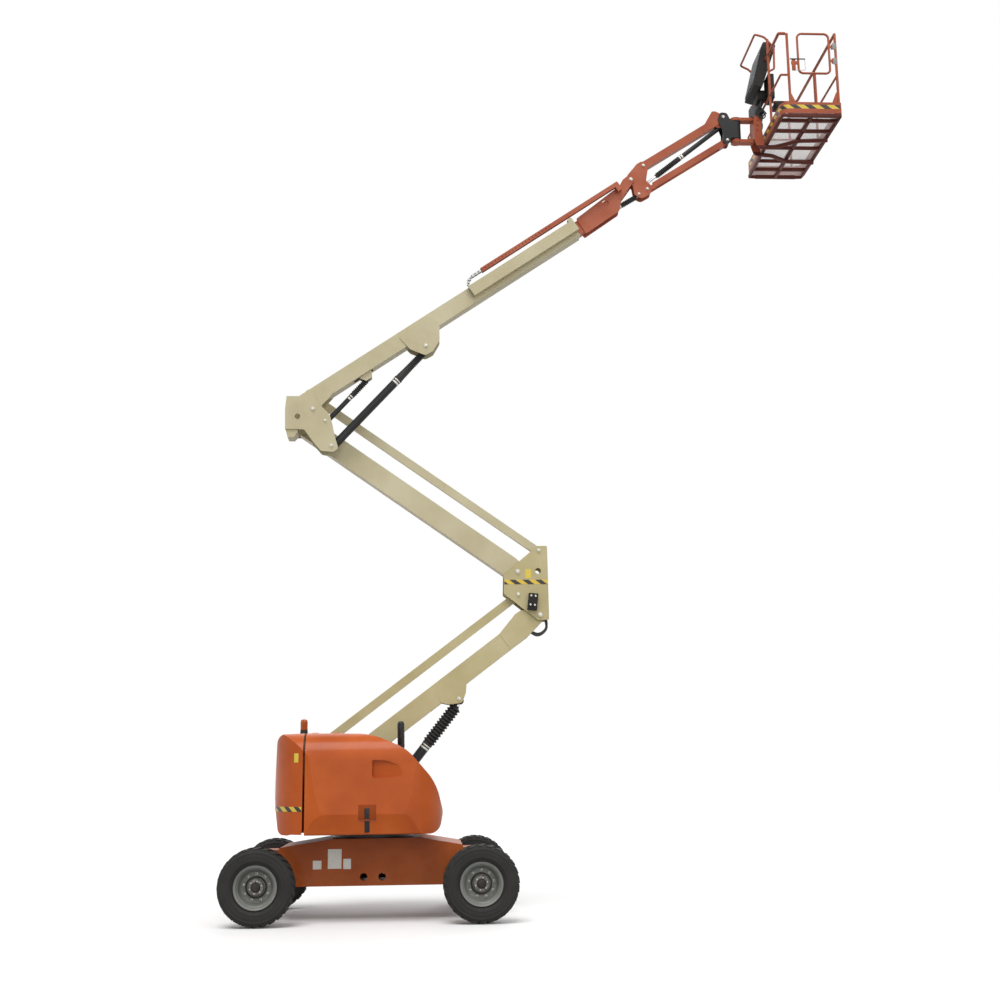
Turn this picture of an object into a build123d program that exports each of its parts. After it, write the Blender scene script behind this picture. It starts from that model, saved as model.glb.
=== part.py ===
from build123d import *
import os
from math import atan2, cos, degrees, hypot, radians, sin

# Articulating boom lift, in millimetres. +X runs from the steered axle to the drive axle and on
# to the platform, +Y is the far side, +Z is up. The origin is on the floor, midway between the axles.

# ---------------------------------------------------------------- driving dimensions
WHEELBASE = 2440
WHEEL_Y = 985                 # middle plane of each tyre
TYRE_R, TYRE_W = 420, 310
RIM_R = 224
KINGPIN_Y = 735
FRAME_HALF_WIDTH = 520
FRAME_TOP = 890
DECK_Z = 1000                 # top of the turntable's plate
COVER_HALF_WIDTH = 1000
COVER_BOTTOM = 950
HOOD_HINGE_Z = 2066
SKIN = 12                     # covers' wall

Y_TOWER = 210                 # middle plane of lower boom, mid boom and their links
Y_MAIN = -30                  # middle plane of main boom, jib and platform
RISER_NEAR = (-160, -142)     # side plates of the upright, from near to far
RISER_MID = (82, 97)
RISER_FAR = (323, 341)
KNUCKLE_NEAR = (83, 98)
KNUCKLE_FAR = (322, 337)
STAND_NEAR = (106, 121)
STAND_FAR = (299, 314)

# pivots, as (x, z)
TOWER_FOOT = (-500, 1590)
LINK_FOOT = (-766, 1840)
KNUCKLE_BOOM = (2012, 3479)
KNUCKLE_LINK = (1746, 3729)
MID_FOOT = (1741, 4010)
MID_LINK_FOOT = (2002, 4273)
MID_TOP = (-945, 5900)
MID_LINK_TOP = (-684, 6163)
MAIN_PIVOT = (-758, 5997)
LIFT_BASE = (-528, 5536)
MASTER_BASE = (-609, 5849)
FLY_PIN = (3264, 9070)
JIB_FOOT = (3435, 9273)
JIB_LINK_FOOT = (3477, 8952)
JIB_ROD_PIN = (3462, 9036)
SLAVE_PIN = (3368, 8881)
JIB_TOP = (4510, 9965)
JIB_LINK_TOP = (4552, 9644)
JIB_LUG = (1200, -80)         # jib cylinder's base, in the jib boom's own frame
TOWER_CYL_BASE = (10, 1150)
ROTATOR_X = 4683

MAIN_ANGLE = 34.0             # of the main boom above level
MAIN_BOTTOM, MAIN_TOP = 35, 240      # of its section, above the pivot's line
MAIN_END = 4065
MAIN_LUG = (1607, -92)        # lift cylinder's pin in the main boom's own frame
MASTER_LUG = (784, -12)
TOWER_LUG = (1742, -203)      # tower cylinder's pin in the lower boom's own frame
SLAVE_BASE = (4100, 126)      # slave cylinder's base, in the main boom's frame
FLY_STROKE = 2100

PLATFORM_X = (5045, 5805)
PLATFORM_Y = (-945, 885)
FLOOR_Z = 9600                # top of the platform's floor
FLOOR_MARGIN = 48             # from its edge to the raised tread plate
RAIL_Z = 10690                # middle of the top rail
MID_RAIL_Z = 10125
GATE_HINGE_X = 5740


# ---------------------------------------------------------------- small tools
def frame_at(point, angle):
    """A plane whose x runs along a boom at that angle and whose z points to the near side."""
    x, z = point
    turn = radians(angle)
    return Plane(origin=(x, 0, z), x_dir=(cos(turn), 0, sin(turn)), z_dir=(0, -1, 0))


LEVEL = frame_at((0, 0), 0)


def plate(rows, near, far, frame=LEVEL):
    """A flat plate from its outline's rows (along, up, corner radius), between two Y values."""
    line = FilletPolyline(*[(a, b) for a, b, r in rows], radius=[r for a, b, r in rows], close=True)
    return Pos(0, far, 0) * extrude(frame * make_face(line), far - near)


def pin(point, radius, near, far, frame=LEVEL):
    """A round pin along Y at a point of a frame."""
    place = frame.from_local_coords(Vector(point[0], point[1], 0))
    return Pos(place.X, (near + far) / 2, place.Z) * Rot(90, 0, 0) * Cylinder(radius, far - near)


def rod(start, end, radius):
    """A round bar between two points."""
    run = Vector(*end) - Vector(*start)
    place = Plane(origin=start, z_dir=run)
    return place * Cylinder(radius, run.length, align=(Align.CENTER, Align.CENTER, Align.MIN))


def block(x, y, z):
    """A box from its low and high values on each axis."""
    middle = [(low + high) / 2 for low, high in (x, y, z)]
    return Pos(*middle) * Box(x[1] - x[0], y[1] - y[0], z[1] - z[0])


def bent_pipe(points, radius, bend):
    """A round pipe along a route with equal bends."""
    path = FilletPolyline(*points, radius=bend)
    start = Vector(*points[0])
    ring = Plane(origin=start, z_dir=Vector(*points[1]) - start) * Circle(radius)
    return sweep(ring, path)


def angle_of(start, end):
    return degrees(atan2(end[1] - start[1], end[0] - start[0]))


def distance(start, end):
    return hypot(end[0] - start[0], end[1] - start[1])


def box_tube(along, up, across, wall, frame):
    """A rectangular boom section, open at both ends: (from, to) along, up and across in Y."""
    (a0, a1), (u0, u1), (y0, y1) = along, up, across
    outer = [(a0, u0, 0), (a1, u0, 0), (a1, u1, 0), (a0, u1, 0)]
    inner = [(a0 - 1, u0 + wall, 0), (a1 + 1, u0 + wall, 0), (a1 + 1, u1 - wall, 0), (a0 - 1, u1 - wall, 0)]
    return plate(outer, y0, y1, frame) - plate(inner, y0 + wall, y1 - wall, frame)


def across(middle, width):
    return (middle - width / 2, middle + width / 2)


def local(frame, point, y):
    """A world point from a frame's own (along, up) and a Y value."""
    place = frame.from_local_coords(Vector(point[0], point[1], 0))
    return (place.X, y, place.Z)


def flat(frame, point):
    place = frame.from_local_coords(Vector(point[0], point[1], 0))
    return (place.X, place.Z)


PARTS = {}


def keep(node, solid):
    PARTS[node] = solid


# ---------------------------------------------------------------- chassis
def chassis():
    side = [  # along, up, corner radius
        (-1035, 375, 30), (1035, 375, 30), (1035, 810, 20), (560, FRAME_TOP, 60),
        (-450, FRAME_TOP, 60), (-1035, 800, 20),
    ]
    inner = [
        (-1050, 387, 0), (1050, 387, 0), (1050, 797, 0), (560, FRAME_TOP - 12, 60),
        (-450, FRAME_TOP - 12, 60), (-1050, 786, 0),
    ]
    w = FRAME_HALF_WIDTH
    body = plate(side, -w, w) - plate(inner, 12 - w, w - 12)
    for end in (-1, 1):
        body += block((end * 1023 - 12, end * 1023 + 12), (-w, w), (380, 795))
        nose = block(sorted((end * 1030, end * 1400)), (-200, 200), (545, 760))
        nose -= block(sorted((end * 1042, end * 1388)), (-188, 188), (557, 748))
        body += nose
    for x in (-83, 124):
        body -= pin((x, 471), 42, -w - 20, w + 20)
    body -= Pos(0, 0, FRAME_TOP) * Cylinder(330, 60)
    keep("chassis_frame", body)

    ring = Cylinder(460, 80) - Cylinder(360, 80)
    keep("slewing_ring", Pos(0, 0, FRAME_TOP + 41) * ring)


def axles():
    for name, x in (("steer_axle", -WHEELBASE / 2), ("drive_axle", WHEELBASE / 2)):
        half = 645 if name == "steer_axle" else 820
        beam = block((x - 65, x + 65), (-half, half), (350, 490))
        beam += block((x - 90, x + 90), (-150, 150), (340, 544))
        if name == "steer_axle":
            for side in (-1, 1):
                near, far = sorted((side * 640, side * (KINGPIN_Y + 55)))
                for low, high in ((335, 365), (475, 505)):
                    beam += block((x - 55, x + 55), (near, far), (low, high))
                beam += block((x - 55, x + 55), sorted((side * 620, side * 660)), (335, 505))
                beam += Pos(x, side * KINGPIN_Y, 420) * Cylinder(24, 200)
            beam += rod((x + 128, -300, 420), (x + 128, 300, 420), 36)
            beam += rod((x + 128, -480, 420), (x + 128, 480, 420), 18)
            beam += block((x + 60, x + 150), (-60, 60), (370, 470))
        else:
            for side in (-1, 1):
                beam += rod((x, side * 800, 420), (x, side * 905, 420), 95)
                beam += rod((x, side * 900, 420), (x, side * 1000, 420), 40)
            beam += Pos(x, 0, 420) * Sphere(122)
            beam += rod((x - 60, 0, 430), (x - 180, 0, 430), 70)
        keep(name, beam)

    for name, side in (("steer_knuckle_near", -1), ("steer_knuckle_far", 1)):
        x = -WHEELBASE / 2
        hub = Pos(x, side * KINGPIN_Y, 420) * Cylinder(48, 96)
        hub += block((x - 45, x + 45), sorted((side * KINGPIN_Y, side * 880)), (375, 465))
        hub += rod((x, side * 870, 420), (x, side * 890, 420), 90)
        hub += rod((x, side * 885, 420), (x, side * 1000, 420), 40)
        hub += block((x, x + 160), sorted((side * (KINGPIN_Y - 18), side * (KINGPIN_Y + 18))), (395, 445))
        hub += Pos(x + 160, side * KINGPIN_Y, 420) * Cylinder(26, 64)
        hub -= Pos(x, side * KINGPIN_Y, 420) * Cylinder(25, 120)
        keep(name, hub)


def wheels():
    tyre = [  # radius, across
        (RIM_R + 1, -110), (RIM_R + 14, -122), (300, -155), (375, -152), (412, -135), (TYRE_R, -110),
        (TYRE_R, 110), (412, 135), (375, 152), (300, 155), (RIM_R + 14, 122), (RIM_R + 1, 110),
    ]
    rim = [
        (41, -60), (100, -60), (100, -20), (184, 10), (194, 0), (194, -100), (210, -126), (RIM_R + 12, -134),
        (RIM_R + 12, -128), (RIM_R, -116), (RIM_R, 116), (RIM_R + 12, 128), (RIM_R + 12, 134), (210, 126),
        (202, 60), (190, 30), (145, 24), (112, 2), (112, 20), (95, 62), (60, 72), (0, 72), (0, 30), (41, 30),
    ]
    places = (
        ("steer_near", -WHEELBASE / 2, -1), ("steer_far", -WHEELBASE / 2, 1),
        ("drive_near", WHEELBASE / 2, -1), ("drive_far", WHEELBASE / 2, 1),
    )
    for name, x, side in places:
        for piece, rows in (("tyre", tyre), ("rim", rim)):
            outline = Plane.XY * make_face(Polyline(*[(r, side * a) for r, a in rows], close=True))
            keep(f"{piece}_{name}", Pos(x, side * WHEEL_Y, 420) * revolve(outline, Axis.Y))


# ---------------------------------------------------------------- turntable and covers
REAR_X, GAP_REAR, GAP_FRONT, FRONT_X = -1097, -745, -720, 812


def cover_form(inset):
    """The whole outer form of the covers: plan, side and end outlines, all set in by that much."""
    plan = [
        (REAR_X, -COVER_HALF_WIDTH, 600), (FRONT_X, -COVER_HALF_WIDTH, 450),
        (FRONT_X, COVER_HALF_WIDTH, 450), (REAR_X, COVER_HALF_WIDTH, 600),
    ]
    side = [
        (-1030, COVER_BOTTOM, 80), (765, COVER_BOTTOM, 130), (FRONT_X, 1180, 200), (730, 1500, 600), (400, 1880, 500),
        (0, 2050, 800), (-700, 2064, 0), (-1062, 2050, 110), (REAR_X, 1350, 900),
    ]
    end = [
        (-955, COVER_BOTTOM, 20), (955, COVER_BOTTOM, 20), (COVER_HALF_WIDTH, 1170, 60), (960, 2070, 330),
        (-960, 2070, 330), (-COVER_HALF_WIDTH, 1170, 60),
    ]

    def inner_face(rows):
        line = FilletPolyline(*[(a, b) for a, b, r in rows], radius=[r for a, b, r in rows], close=True)
        face = make_face(line)
        return offset(face, amount=-inset) if inset else face

    form = Pos(0, 0, 700) * extrude(inner_face(plan), 1600)
    form &= Pos(0, 1200, 0) * extrude(LEVEL * inner_face(side), 2400)
    form &= Pos(-1300, 0, 0) * extrude(Plane.YZ * inner_face(end), 2400)
    return form


def vent(side, grow):
    """The air scoop in a cover's side: deep at its rear edge and running out to the front."""
    rows = [
        (21 - grow, 1757 + grow, 18), (180, 1752 + grow, 250), (463 + grow, 1640, 8), (300, 1572 - grow, 250),
        (22 - grow, 1560 - grow, 30),
    ]
    deep = [(0 - grow, 1100), (520, 1100), (520, 1010 - grow), (480, 1000 - grow), (0 - grow, 925 - grow)]
    well = Pos(0, 0, 1400) * extrude(make_face(Polyline(*[(x, side * y) for x, y in deep], close=True)), 500)
    return well & Pos(0, 1200, 0) * extrude(LEVEL * outline_face(rows), 2400)


def outline_face(rows):
    line = FilletPolyline(*[(a, b) for a, b, r in rows], radius=[r for a, b, r in rows], close=True)
    return make_face(line)


def turntable():
    outer = cover_form(0)
    inner = cover_form(SKIN)
    mouth = block((-1200, 620), (-860, 860), (COVER_BOTTOM - 5, COVER_BOTTOM + 120))
    mouth = fillet(mouth.edges().filter_by(Axis.Z), 120)
    for name, side, span, hinge_y in (
        ("hood_near", -1, (-1100, -305), -305), ("hood_far", 1, (400, 1100), 400),
    ):
        shell = (outer - vent(side, 0)) - (inner - vent(side, SKIN)) - mouth
        hood = shell & block((GAP_FRONT, 900), span, (COVER_BOTTOM - 10, 2200))
        for along in (-660, -420):
            hood += rod((along - 35, hinge_y, HOOD_HINGE_Z), (along + 35, hinge_y, HOOD_HINGE_Z), 12)
        keep(name, hood)

    weight = outer & block((-1200, GAP_REAR), (-1100, 1100), (COVER_BOTTOM, 2200))
    weight -= block((-1200, GAP_REAR + 1), (-185, 365), (1560, 2200))
    weight -= block((-900, GAP_REAR + 1), (-1100, 1100), (900, 1001))
    keep("counterweight", weight)

    deck = fillet(block((-880, 600), (-840, 840), (DECK_Z - 24, DECK_Z)).edges().filter_by(Axis.Z), 120)
    deck += Pos(0, 0, DECK_Z - 14) * Cylinder(460, 28)
    stand = [
        (-735, DECK_Z - 5, 0), (130, DECK_Z - 5, 0), (130, 1190, 60), (-380, 1440, 80), (-405, 1640, 80),
        (-560, 1690, 30), (-700, 1888, 60), (-815, 1888, 60), (-815, 1780, 60), (-735, 1640, 60),
    ]
    for near, far in (STAND_NEAR, STAND_FAR):
        deck += plate(stand, near, far)
    deck += block((-735, -715), (STAND_NEAR[0], STAND_FAR[1]), (DECK_Z - 5, 1600))
    wall = [(-715, DECK_Z - 5, 0), (590, DECK_Z - 5, 0), (590, 1250, 60), (300, 1500, 100), (-715, 1560, 0)]
    deck += plate(wall, -212, -200)
    deck += plate(wall, 372, 384)
    deck += pin(TOWER_FOOT, 32, STAND_NEAR[0], STAND_FAR[1])
    deck += pin(LINK_FOOT, 22, STAND_NEAR[0], STAND_FAR[1])
    deck += pin(TOWER_CYL_BASE, 26, STAND_NEAR[0], STAND_FAR[1])
    keep("turntable_deck", deck)

    keep("engine_block", block((-540, 260), (-840, -360), (DECK_Z, 1560)))
    pipe = bent_pipe([(345, -258, DECK_Z), (345, -258, 2165), (440, -258, 2200)], 36, 60)
    keep("exhaust_pipe", pipe)
    lamp = Pos(-790, -330, 2140) * (Cylinder(42, 110) + Pos(0, 0, 55) * Sphere(42))
    lamp += Pos(-790, -330, 2072) * Cylinder(55, 30)
    keep("beacon", lamp - weight)


# ---------------------------------------------------------------- tower
def boss(frame, point, outer, bore, width, middle=Y_TOWER):
    near, far = across(middle, width)
    return pin(point, outer, near, far, frame) - pin(point, bore, near - 1, far + 1, frame)


def lower_boom():
    angle = angle_of(TOWER_FOOT, KNUCKLE_BOOM)
    length = distance(TOWER_FOOT, KNUCKLE_BOOM)
    frame = frame_at(TOWER_FOOT, angle)
    near, far = across(Y_TOWER, 200)
    body = box_tube((330, 2700), (-117, 117), (near, far), 8, frame)
    body += plate([(330, -117, 0), (342, -117, 0), (342, 117, 0), (330, 117, 0)], near, far, frame)
    root = [(-70, -60, 55), (150, -85, 60), (331, -117, 0), (331, 117, 0), (150, 75, 60), (-70, 60, 55)]
    for y in ((126, 138), (282, 294)):
        body += plate(root, *y, frame)
    head = [
        (2600, -117, 0), (2865, -117, 60), (length + 20, -72, 60), (length + 70, 30, 60), (length - 40, 90, 60),
        (2990, 186, 25), (2905, 192, 30), (2600, 117, 0),
    ]
    cheek = [
        (1540, -110, 40), (1600, -180, 40), (1742, -268, 54), (1850, -200, 50), (1930, -110, 40), (1880, 60, 60),
        (1590, 60, 60),
    ]
    body -= plate([(1380, -130, 0), (1880, -130, 0), (1880, -100, 0), (1380, -100, 0)], Y_TOWER - 76, Y_TOWER + 76, frame)
    for y in ((near - 4, near + 8), (far - 8, far + 4)):
        body += plate(head, *y, frame)
        body += plate(cheek, *y, frame)
    body += boss(frame, (length, 0), 58, 30.6, 200)
    body += boss(frame, (0, 0), 60, 32.6, 168)
    body += pin(TOWER_LUG, 24, near - 8, near + 22, frame)
    body += pin(TOWER_LUG, 24, far - 22, far + 8, frame)
    body -= pin((0, 0), 32.6, near, far, frame)
    body -= pin((length, 0), 30.6, near - 9, far + 9, frame)
    keep("lower_boom", body)

    link_length = distance(LINK_FOOT, KNUCKLE_LINK)
    frame = frame_at(LINK_FOOT, angle)
    y = across(Y_TOWER, 70)
    link = box_tube((60, link_length - 60), (-50, 50), y, 6, frame)
    for point in ((0, 0), (link_length, 0)):
        link += pin(point, 50, *y, frame)
        low = min(point[0], point[0] + (70 if point[0] == 0 else -70))
        link += plate([(low, -50, 0), (low + 70, -50, 0), (low + 70, 50, 0), (low, 50, 0)], *y, frame)
    for point in ((0, 0), (link_length, 0)):
        link -= pin(point, 22.8, y[0] - 1, y[1] + 1, frame)
    keep("lower_link", link)


def knuckle():
    rows = [
        (1569, 3737, 20), (1983, 3410, 30), (2119, 3417, 15), (2109, 4324, 15), (1989, 4325, 40), (1575, 3978, 25),
    ]
    body = plate(rows, *KNUCKLE_NEAR) + plate(rows, *KNUCKLE_FAR)
    body += block((2093, 2107), (KNUCKLE_NEAR[0], KNUCKLE_FAR[1]), (3570, 4300))
    for y in (KNUCKLE_NEAR, KNUCKLE_FAR):
        body -= pin((1993, 4016), 36, y[0] - 1, y[1] + 1)
    for point, radius in ((KNUCKLE_BOOM, 30), (KNUCKLE_LINK, 22), (MID_FOOT, 30), (MID_LINK_FOOT, 22)):
        body += pin(point, radius, KNUCKLE_NEAR[0] - 6, KNUCKLE_FAR[1] + 6)
    keep("knuckle", body)


def mid_boom():
    angle = angle_of(MID_TOP, MID_FOOT)
    length = distance(MID_TOP, MID_FOOT)
    frame = frame_at(MID_TOP, angle)
    near, far = across(Y_TOWER, 200)
    body = box_tube((100, length - 100), (-127, 127), (near, far), 8, frame)
    ends = [
        [(-118, -118, 110), (110, -127, 0), (110, 127, 0), (-118, 118, 110)],
        [(length - 130, -127, 0), (length + 100, -100, 95), (length + 100, 100, 95), (length - 130, 127, 0)],
    ]
    for rows in ends:
        for y in ((near, near + 12), (far - 12, far)):
            body += plate(rows, *y, frame)
    body += boss(frame, (0, 0), 62, 32.6, 200)
    body += boss(frame, (length, 0), 62, 30.6, 200)
    body -= pin((0, 0), 32.6, near - 1, far + 1, frame)
    body -= pin((length, 0), 30.6, near - 1, far + 1, frame)
    keep("mid_boom", body)

    frame = frame_at(MID_LINK_TOP, angle)
    y = across(Y_TOWER, 80)
    link = box_tube((60, length - 60), (-48, 48), y, 6, frame)
    for point in ((0, 0), (length, 0)):
        link += pin(point, 48, *y, frame)
        low = point[0] if point[0] == 0 else point[0] - 70
        link += plate([(low, -48, 0), (low + 70, -48, 0), (low + 70, 48, 0), (low, 48, 0)], *y, frame)
    for point in ((0, 0), (length, 0)):
        link -= pin(point, 22.8, y[0] - 1, y[1] + 1, frame)
    keep("upper_link", link)


def upright():
    near_rows = [
        (-1097, 5997, 10), (-1093, 5742, 15), (-864, 5740, 40), (-744, 5574, 120), (-655, 5470, 60),
        (-505, 5455, 40), (-443, 5500, 30), (-500, 5690, 30), (-545, 5897, 30), (-581, 5955, 20), (-710, 6085, 10),
        (-767, 6239, 20), (-832, 6233, 10), (-895, 6157, 10), (-1081, 6156, 15),
    ]
    far_rows = [
        (-1097, 5997, 10), (-1093, 5742, 15), (-830, 5742, 60), (-600, 6080, 60), (-600, 6215, 60),
        (-740, 6240, 60), (-895, 6157, 10), (-1081, 6156, 15),
    ]
    body = plate(near_rows, *RISER_NEAR) + plate(near_rows, *RISER_MID) + plate(far_rows, *RISER_FAR)
    rear = [(-1097, 5997, 0), (-1093, 5742, 0), (-1082, 5742, 0), (-1085, 5997, 0), (-1069, 6156, 0), (-1081, 6156, 0)]
    body += plate(rear, RISER_NEAR[0], RISER_FAR[1])
    foot = [(-1096, 5770, 0), (-1062, 5642, 0), (-990, 5642, 0), (-940, 5705, 0), (-940, 5770, 0)]
    body += plate(foot, RISER_NEAR[1] - 1, RISER_MID[0] + 1)
    body -= pin(MID_TOP, 34, RISER_NEAR[0] - 1, RISER_NEAR[1] + 1)
    body += pin(MID_TOP, 32, RISER_MID[0], RISER_FAR[1] + 6)
    body += pin(MID_LINK_TOP, 22, RISER_MID[0], RISER_FAR[1] + 6)
    for point, radius in ((MAIN_PIVOT, 28), (LIFT_BASE, 24), (MASTER_BASE, 18)):
        body += pin(point, radius, RISER_NEAR[0] - 6, RISER_MID[1])
    keep("upright", body)


# ---------------------------------------------------------------- main boom, fly and jib
def main_boom():
    frame = frame_at(MAIN_PIVOT, MAIN_ANGLE)
    near, far = across(Y_MAIN, 180)
    body = box_tube((-40, MAIN_END), (MAIN_BOTTOM, MAIN_TOP), (near, far), 8, frame)
    root = [(-75, -20, 60), (20, -78, 70), (110, -20, 40), (330, 40, 60), (330, 200, 40), (-60, 235, 30)]
    lug = [
        (1388, 200, 40), (1417, -20, 60), (1530, -190, 60), (1640, -200, 55), (1789, -126, 60), (1915, 63, 60),
        (1880, 200, 40),
    ]
    eye = [(690, 60, 20), (745, -50, 35), (830, -45, 35), (880, 60, 20)]
    for y in ((near - 10, near + 1), (far - 1, far + 10)):
        body += plate(root, *y, frame)
        body += plate(lug, *y, frame)
    for y in ((near + 28, near + 40), (far - 40, far - 28)):
        body += plate([(a, min(b, 36), min(r, 12)) for a, b, r in eye], *y, frame)
    low = [(620, 20, 0), (900, 20, 0), (900, 50, 0), (620, 50, 0)]
    body -= plate(low, Y_MAIN - 47, Y_MAIN + 47, frame)
    for side in (-1, 1):
        body += pin(MASTER_LUG, 16, *sorted((Y_MAIN + side * 30, Y_MAIN + side * 62)), frame)
    body += pin((0, 0), 46, near - 10, far + 10, frame)
    body -= pin((0, 0), 28.6, near - 11, far + 11, frame)
    body += pin(MAIN_LUG, 26, near - 16, near - 2, frame)
    body += pin(MAIN_LUG, 26, far + 2, far + 16, frame)
    keep("main_boom", body)

    tray_y = (near - 72, near - 2)
    tray = [(2470, 96, 0), (4080, 96, 0), (4080, 240, 0), (2470, 240, 0)]
    hollow = [(2400, 106, 0), (4090, 106, 0), (4090, 250, 0), (2400, 250, 0)]
    shelf = plate(tray, *tray_y, frame) - plate(hollow, tray_y[0] + 6, tray_y[1] - 6, frame)
    shelf += plate([(2500, 105, 0), (3600, 105, 0), (3600, 150, 0), (2500, 150, 0)], tray_y[0] + 5, tray_y[1] - 5, frame)
    shelf += plate([(4020, 200, 0), (4080, 200, 0), (4080, 280, 10), (4020, 280, 10)], near - 72, near - 2, frame)
    keep("track_tray", shelf)

    middle = near - 37
    bend = plate([(2452, 158, 60), (2600, 158, 0), (2600, 345, 0), (2452, 345, 60)], *across(middle, 44), frame)
    bend -= plate([(2492, 200, 45), (2610, 200, 0), (2610, 312, 0), (2492, 312, 45)], *across(middle, 46), frame)
    bend -= plate([(2560, 150, 0), (2610, 150, 0), (2610, 320, 0), (2560, 320, 0)], *across(middle, 46), frame)
    bend += plate([(2540, 313, 0), (3830, 313, 0), (3830, 344, 0), (2540, 344, 0)], *across(middle, 40), frame)
    keep("track_bend", bend)


def fly():
    frame = frame_at(MAIN_PIVOT, MAIN_ANGLE)
    y = across(Y_MAIN, 148)
    body = box_tube((1260, 4690), (53, 222), y, 8, frame)
    head = [
        (4141, 15, 15), (4681, 30, 40), (4800, 150, 60), (5020, 235, 60), (5115, 275, 55), (5075, 365, 55),
        (4960, 350, 60), (4880, 307, 30), (4150, 245, 15),
    ]
    for side in (-1, 1):
        near, far = sorted((Y_MAIN + side * 74, Y_MAIN + side * 86))
        sheet = plate(head, near, far, frame) - pin((4588, 212), 42, near - 1, far + 1, frame)
        body += sheet
    body += pin(SLAVE_BASE, 15.4, Y_MAIN - 70, Y_MAIN + 70, frame)
    low = [(4300, 40, 0), (4700, 40, 0), (4700, 70, 0), (4300, 70, 0)]
    body -= plate(low, Y_MAIN - 60, Y_MAIN + 60, frame)
    point = frame.to_local_coords(Vector(FLY_PIN[0], 0, FLY_PIN[1]))
    body += pin((point.X, point.Y), 24, Y_MAIN - 92, Y_MAIN + 92, frame)
    keep("fly_boom", body)

    middle = Y_MAIN - 127
    tube = plate([(2730, 300, 0), (4862, 300, 0), (4862, 356, 8), (2730, 356, 8)], *across(middle, 56), frame)
    tube -= plate([(2700, 290, 0), (4840, 290, 0), (4840, 350, 0), (2700, 350, 0)], *across(middle, 48), frame)
    tube += plate([(4800, 235, 0), (4862, 235, 0), (4862, 301, 0), (4800, 301, 0)], middle - 28, Y_MAIN - 86, frame)
    keep("push_tube", tube)


def jib():
    rows = [
        (3195, 9075, 60), (3290, 9000, 60), (3310, 8870, 50), (3400, 8815, 55), (3530, 8890, 60), (3530, 9000, 50),
        (3465, 9060, 40), (3500, 9260, 60), (3440, 9345, 60), (3350, 9290, 60), (3230, 9140, 60),
    ]
    body = plate(rows, Y_MAIN - 68, Y_MAIN - 58) + plate(rows, Y_MAIN + 58, Y_MAIN + 68)
    body += pin(FLY_PIN, 44, Y_MAIN - 68, Y_MAIN + 68)
    body -= pin(FLY_PIN, 24.6, Y_MAIN - 70, Y_MAIN + 70)
    body += pin(JIB_FOOT, 22, Y_MAIN - 72, Y_MAIN + 72)
    for side in (-1, 1):
        body += pin(JIB_LINK_FOOT, 18, *sorted((Y_MAIN + side * 43, Y_MAIN + side * 72)))
        body += pin(JIB_ROD_PIN, 13, *sorted((Y_MAIN + side * 30, Y_MAIN + side * 60)))
        body += pin(SLAVE_PIN, 16, *sorted((Y_MAIN + side * 30, Y_MAIN + side * 60)))
    keep("jib_knuckle", body)

    angle = angle_of(JIB_FOOT, JIB_TOP)
    length = distance(JIB_FOOT, JIB_TOP)
    frame = frame_at(JIB_FOOT, angle)
    y = across(Y_MAIN, 104)
    boom = box_tube((40, length - 40), (-50, 50), y, 6, frame)
    for along, low in ((0, 0), (length, length - 60)):
        boom += pin((along, 0), 50, *y, frame)
        boom += plate([(low, -50, 0), (low + 60, -50, 0), (low + 60, 50, 0), (low, 50, 0)], *y, frame)
        boom -= pin((along, 0), 22.6, y[0] - 1, y[1] + 1, frame)
    lug = [(1110, -45, 10), (1165, -95, 20), (1200, -106, 20), (1235, -95, 15), (1245, -45, 10)]
    for side in (-1, 1):
        boom += plate(lug, *sorted((Y_MAIN + side * 31, Y_MAIN + side * 41)), frame)
    boom += pin(JIB_LUG, 15.4, Y_MAIN - 41, Y_MAIN + 41, frame)
    horn = [(4262, 9862, 0), (4368, 10048, 15), (4412, 10052, 15), (4545, 9988, 30), (4500, 9900, 0)]
    for near, far in ((y[0], y[0] + 8), (y[1] - 8, y[1])):
        boom += plate(horn, near, far)
    boom += plate([(4330, 9980, 0), (4368, 10047, 0), (4378, 10047, 0), (4340, 9975, 0)], y[0] + 2, y[1] - 2)
    boom -= pin((length, 0), 22.6, y[0] - 1, y[1] + 1, frame)
    keep("jib_boom", boom)

    frame = frame_at(JIB_LINK_FOOT, angle)
    bar = [
        (-38, -38, 37), (length + 38, -38, 37), (length + 38, 38, 37), (106, 38, 8), (98, 17, 6), (58, 17, 6),
        (50, 38, 8), (-38, 38, 37),
    ]
    link = plate(bar, Y_MAIN - 55, Y_MAIN - 45, frame) + plate(bar, Y_MAIN + 45, Y_MAIN + 55, frame)
    link += plate([(1140, -38, 0), (1200, -38, 0), (1200, -30, 0), (1140, -30, 0)], Y_MAIN - 55, Y_MAIN + 55, frame)
    for along in (0, length):
        link -= pin((along, 0), 18.6, Y_MAIN - 56, Y_MAIN + 56, frame)
    keep("jib_link", link)

    rows = [
        (4440, 9930, 40), (4470, 10030, 40), (4560, 10020, 40), (4606, 9918, 20), (4690, 9918, 0), (4690, 9674, 0),
        (4606, 9674, 20), (4570, 9575, 40),
        (4490, 9600, 40), (4500, 9750, 30),
    ]
    head = plate(rows, Y_MAIN - 72, Y_MAIN - 60) + plate(rows, Y_MAIN + 60, Y_MAIN + 72)
    head += block((4612, 4626), across(Y_MAIN, 144), (9674, 9790))
    head += Pos(ROTATOR_X, Y_MAIN, 9796) * Cylinder(66, 250)
    head += pin(JIB_TOP, 22, Y_MAIN - 74, Y_MAIN + 74)
    for side in (-1, 1):
        head += pin(JIB_LINK_TOP, 18, *sorted((Y_MAIN + side * 40, Y_MAIN + side * 74)))
    keep("jib_head", head)


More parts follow.
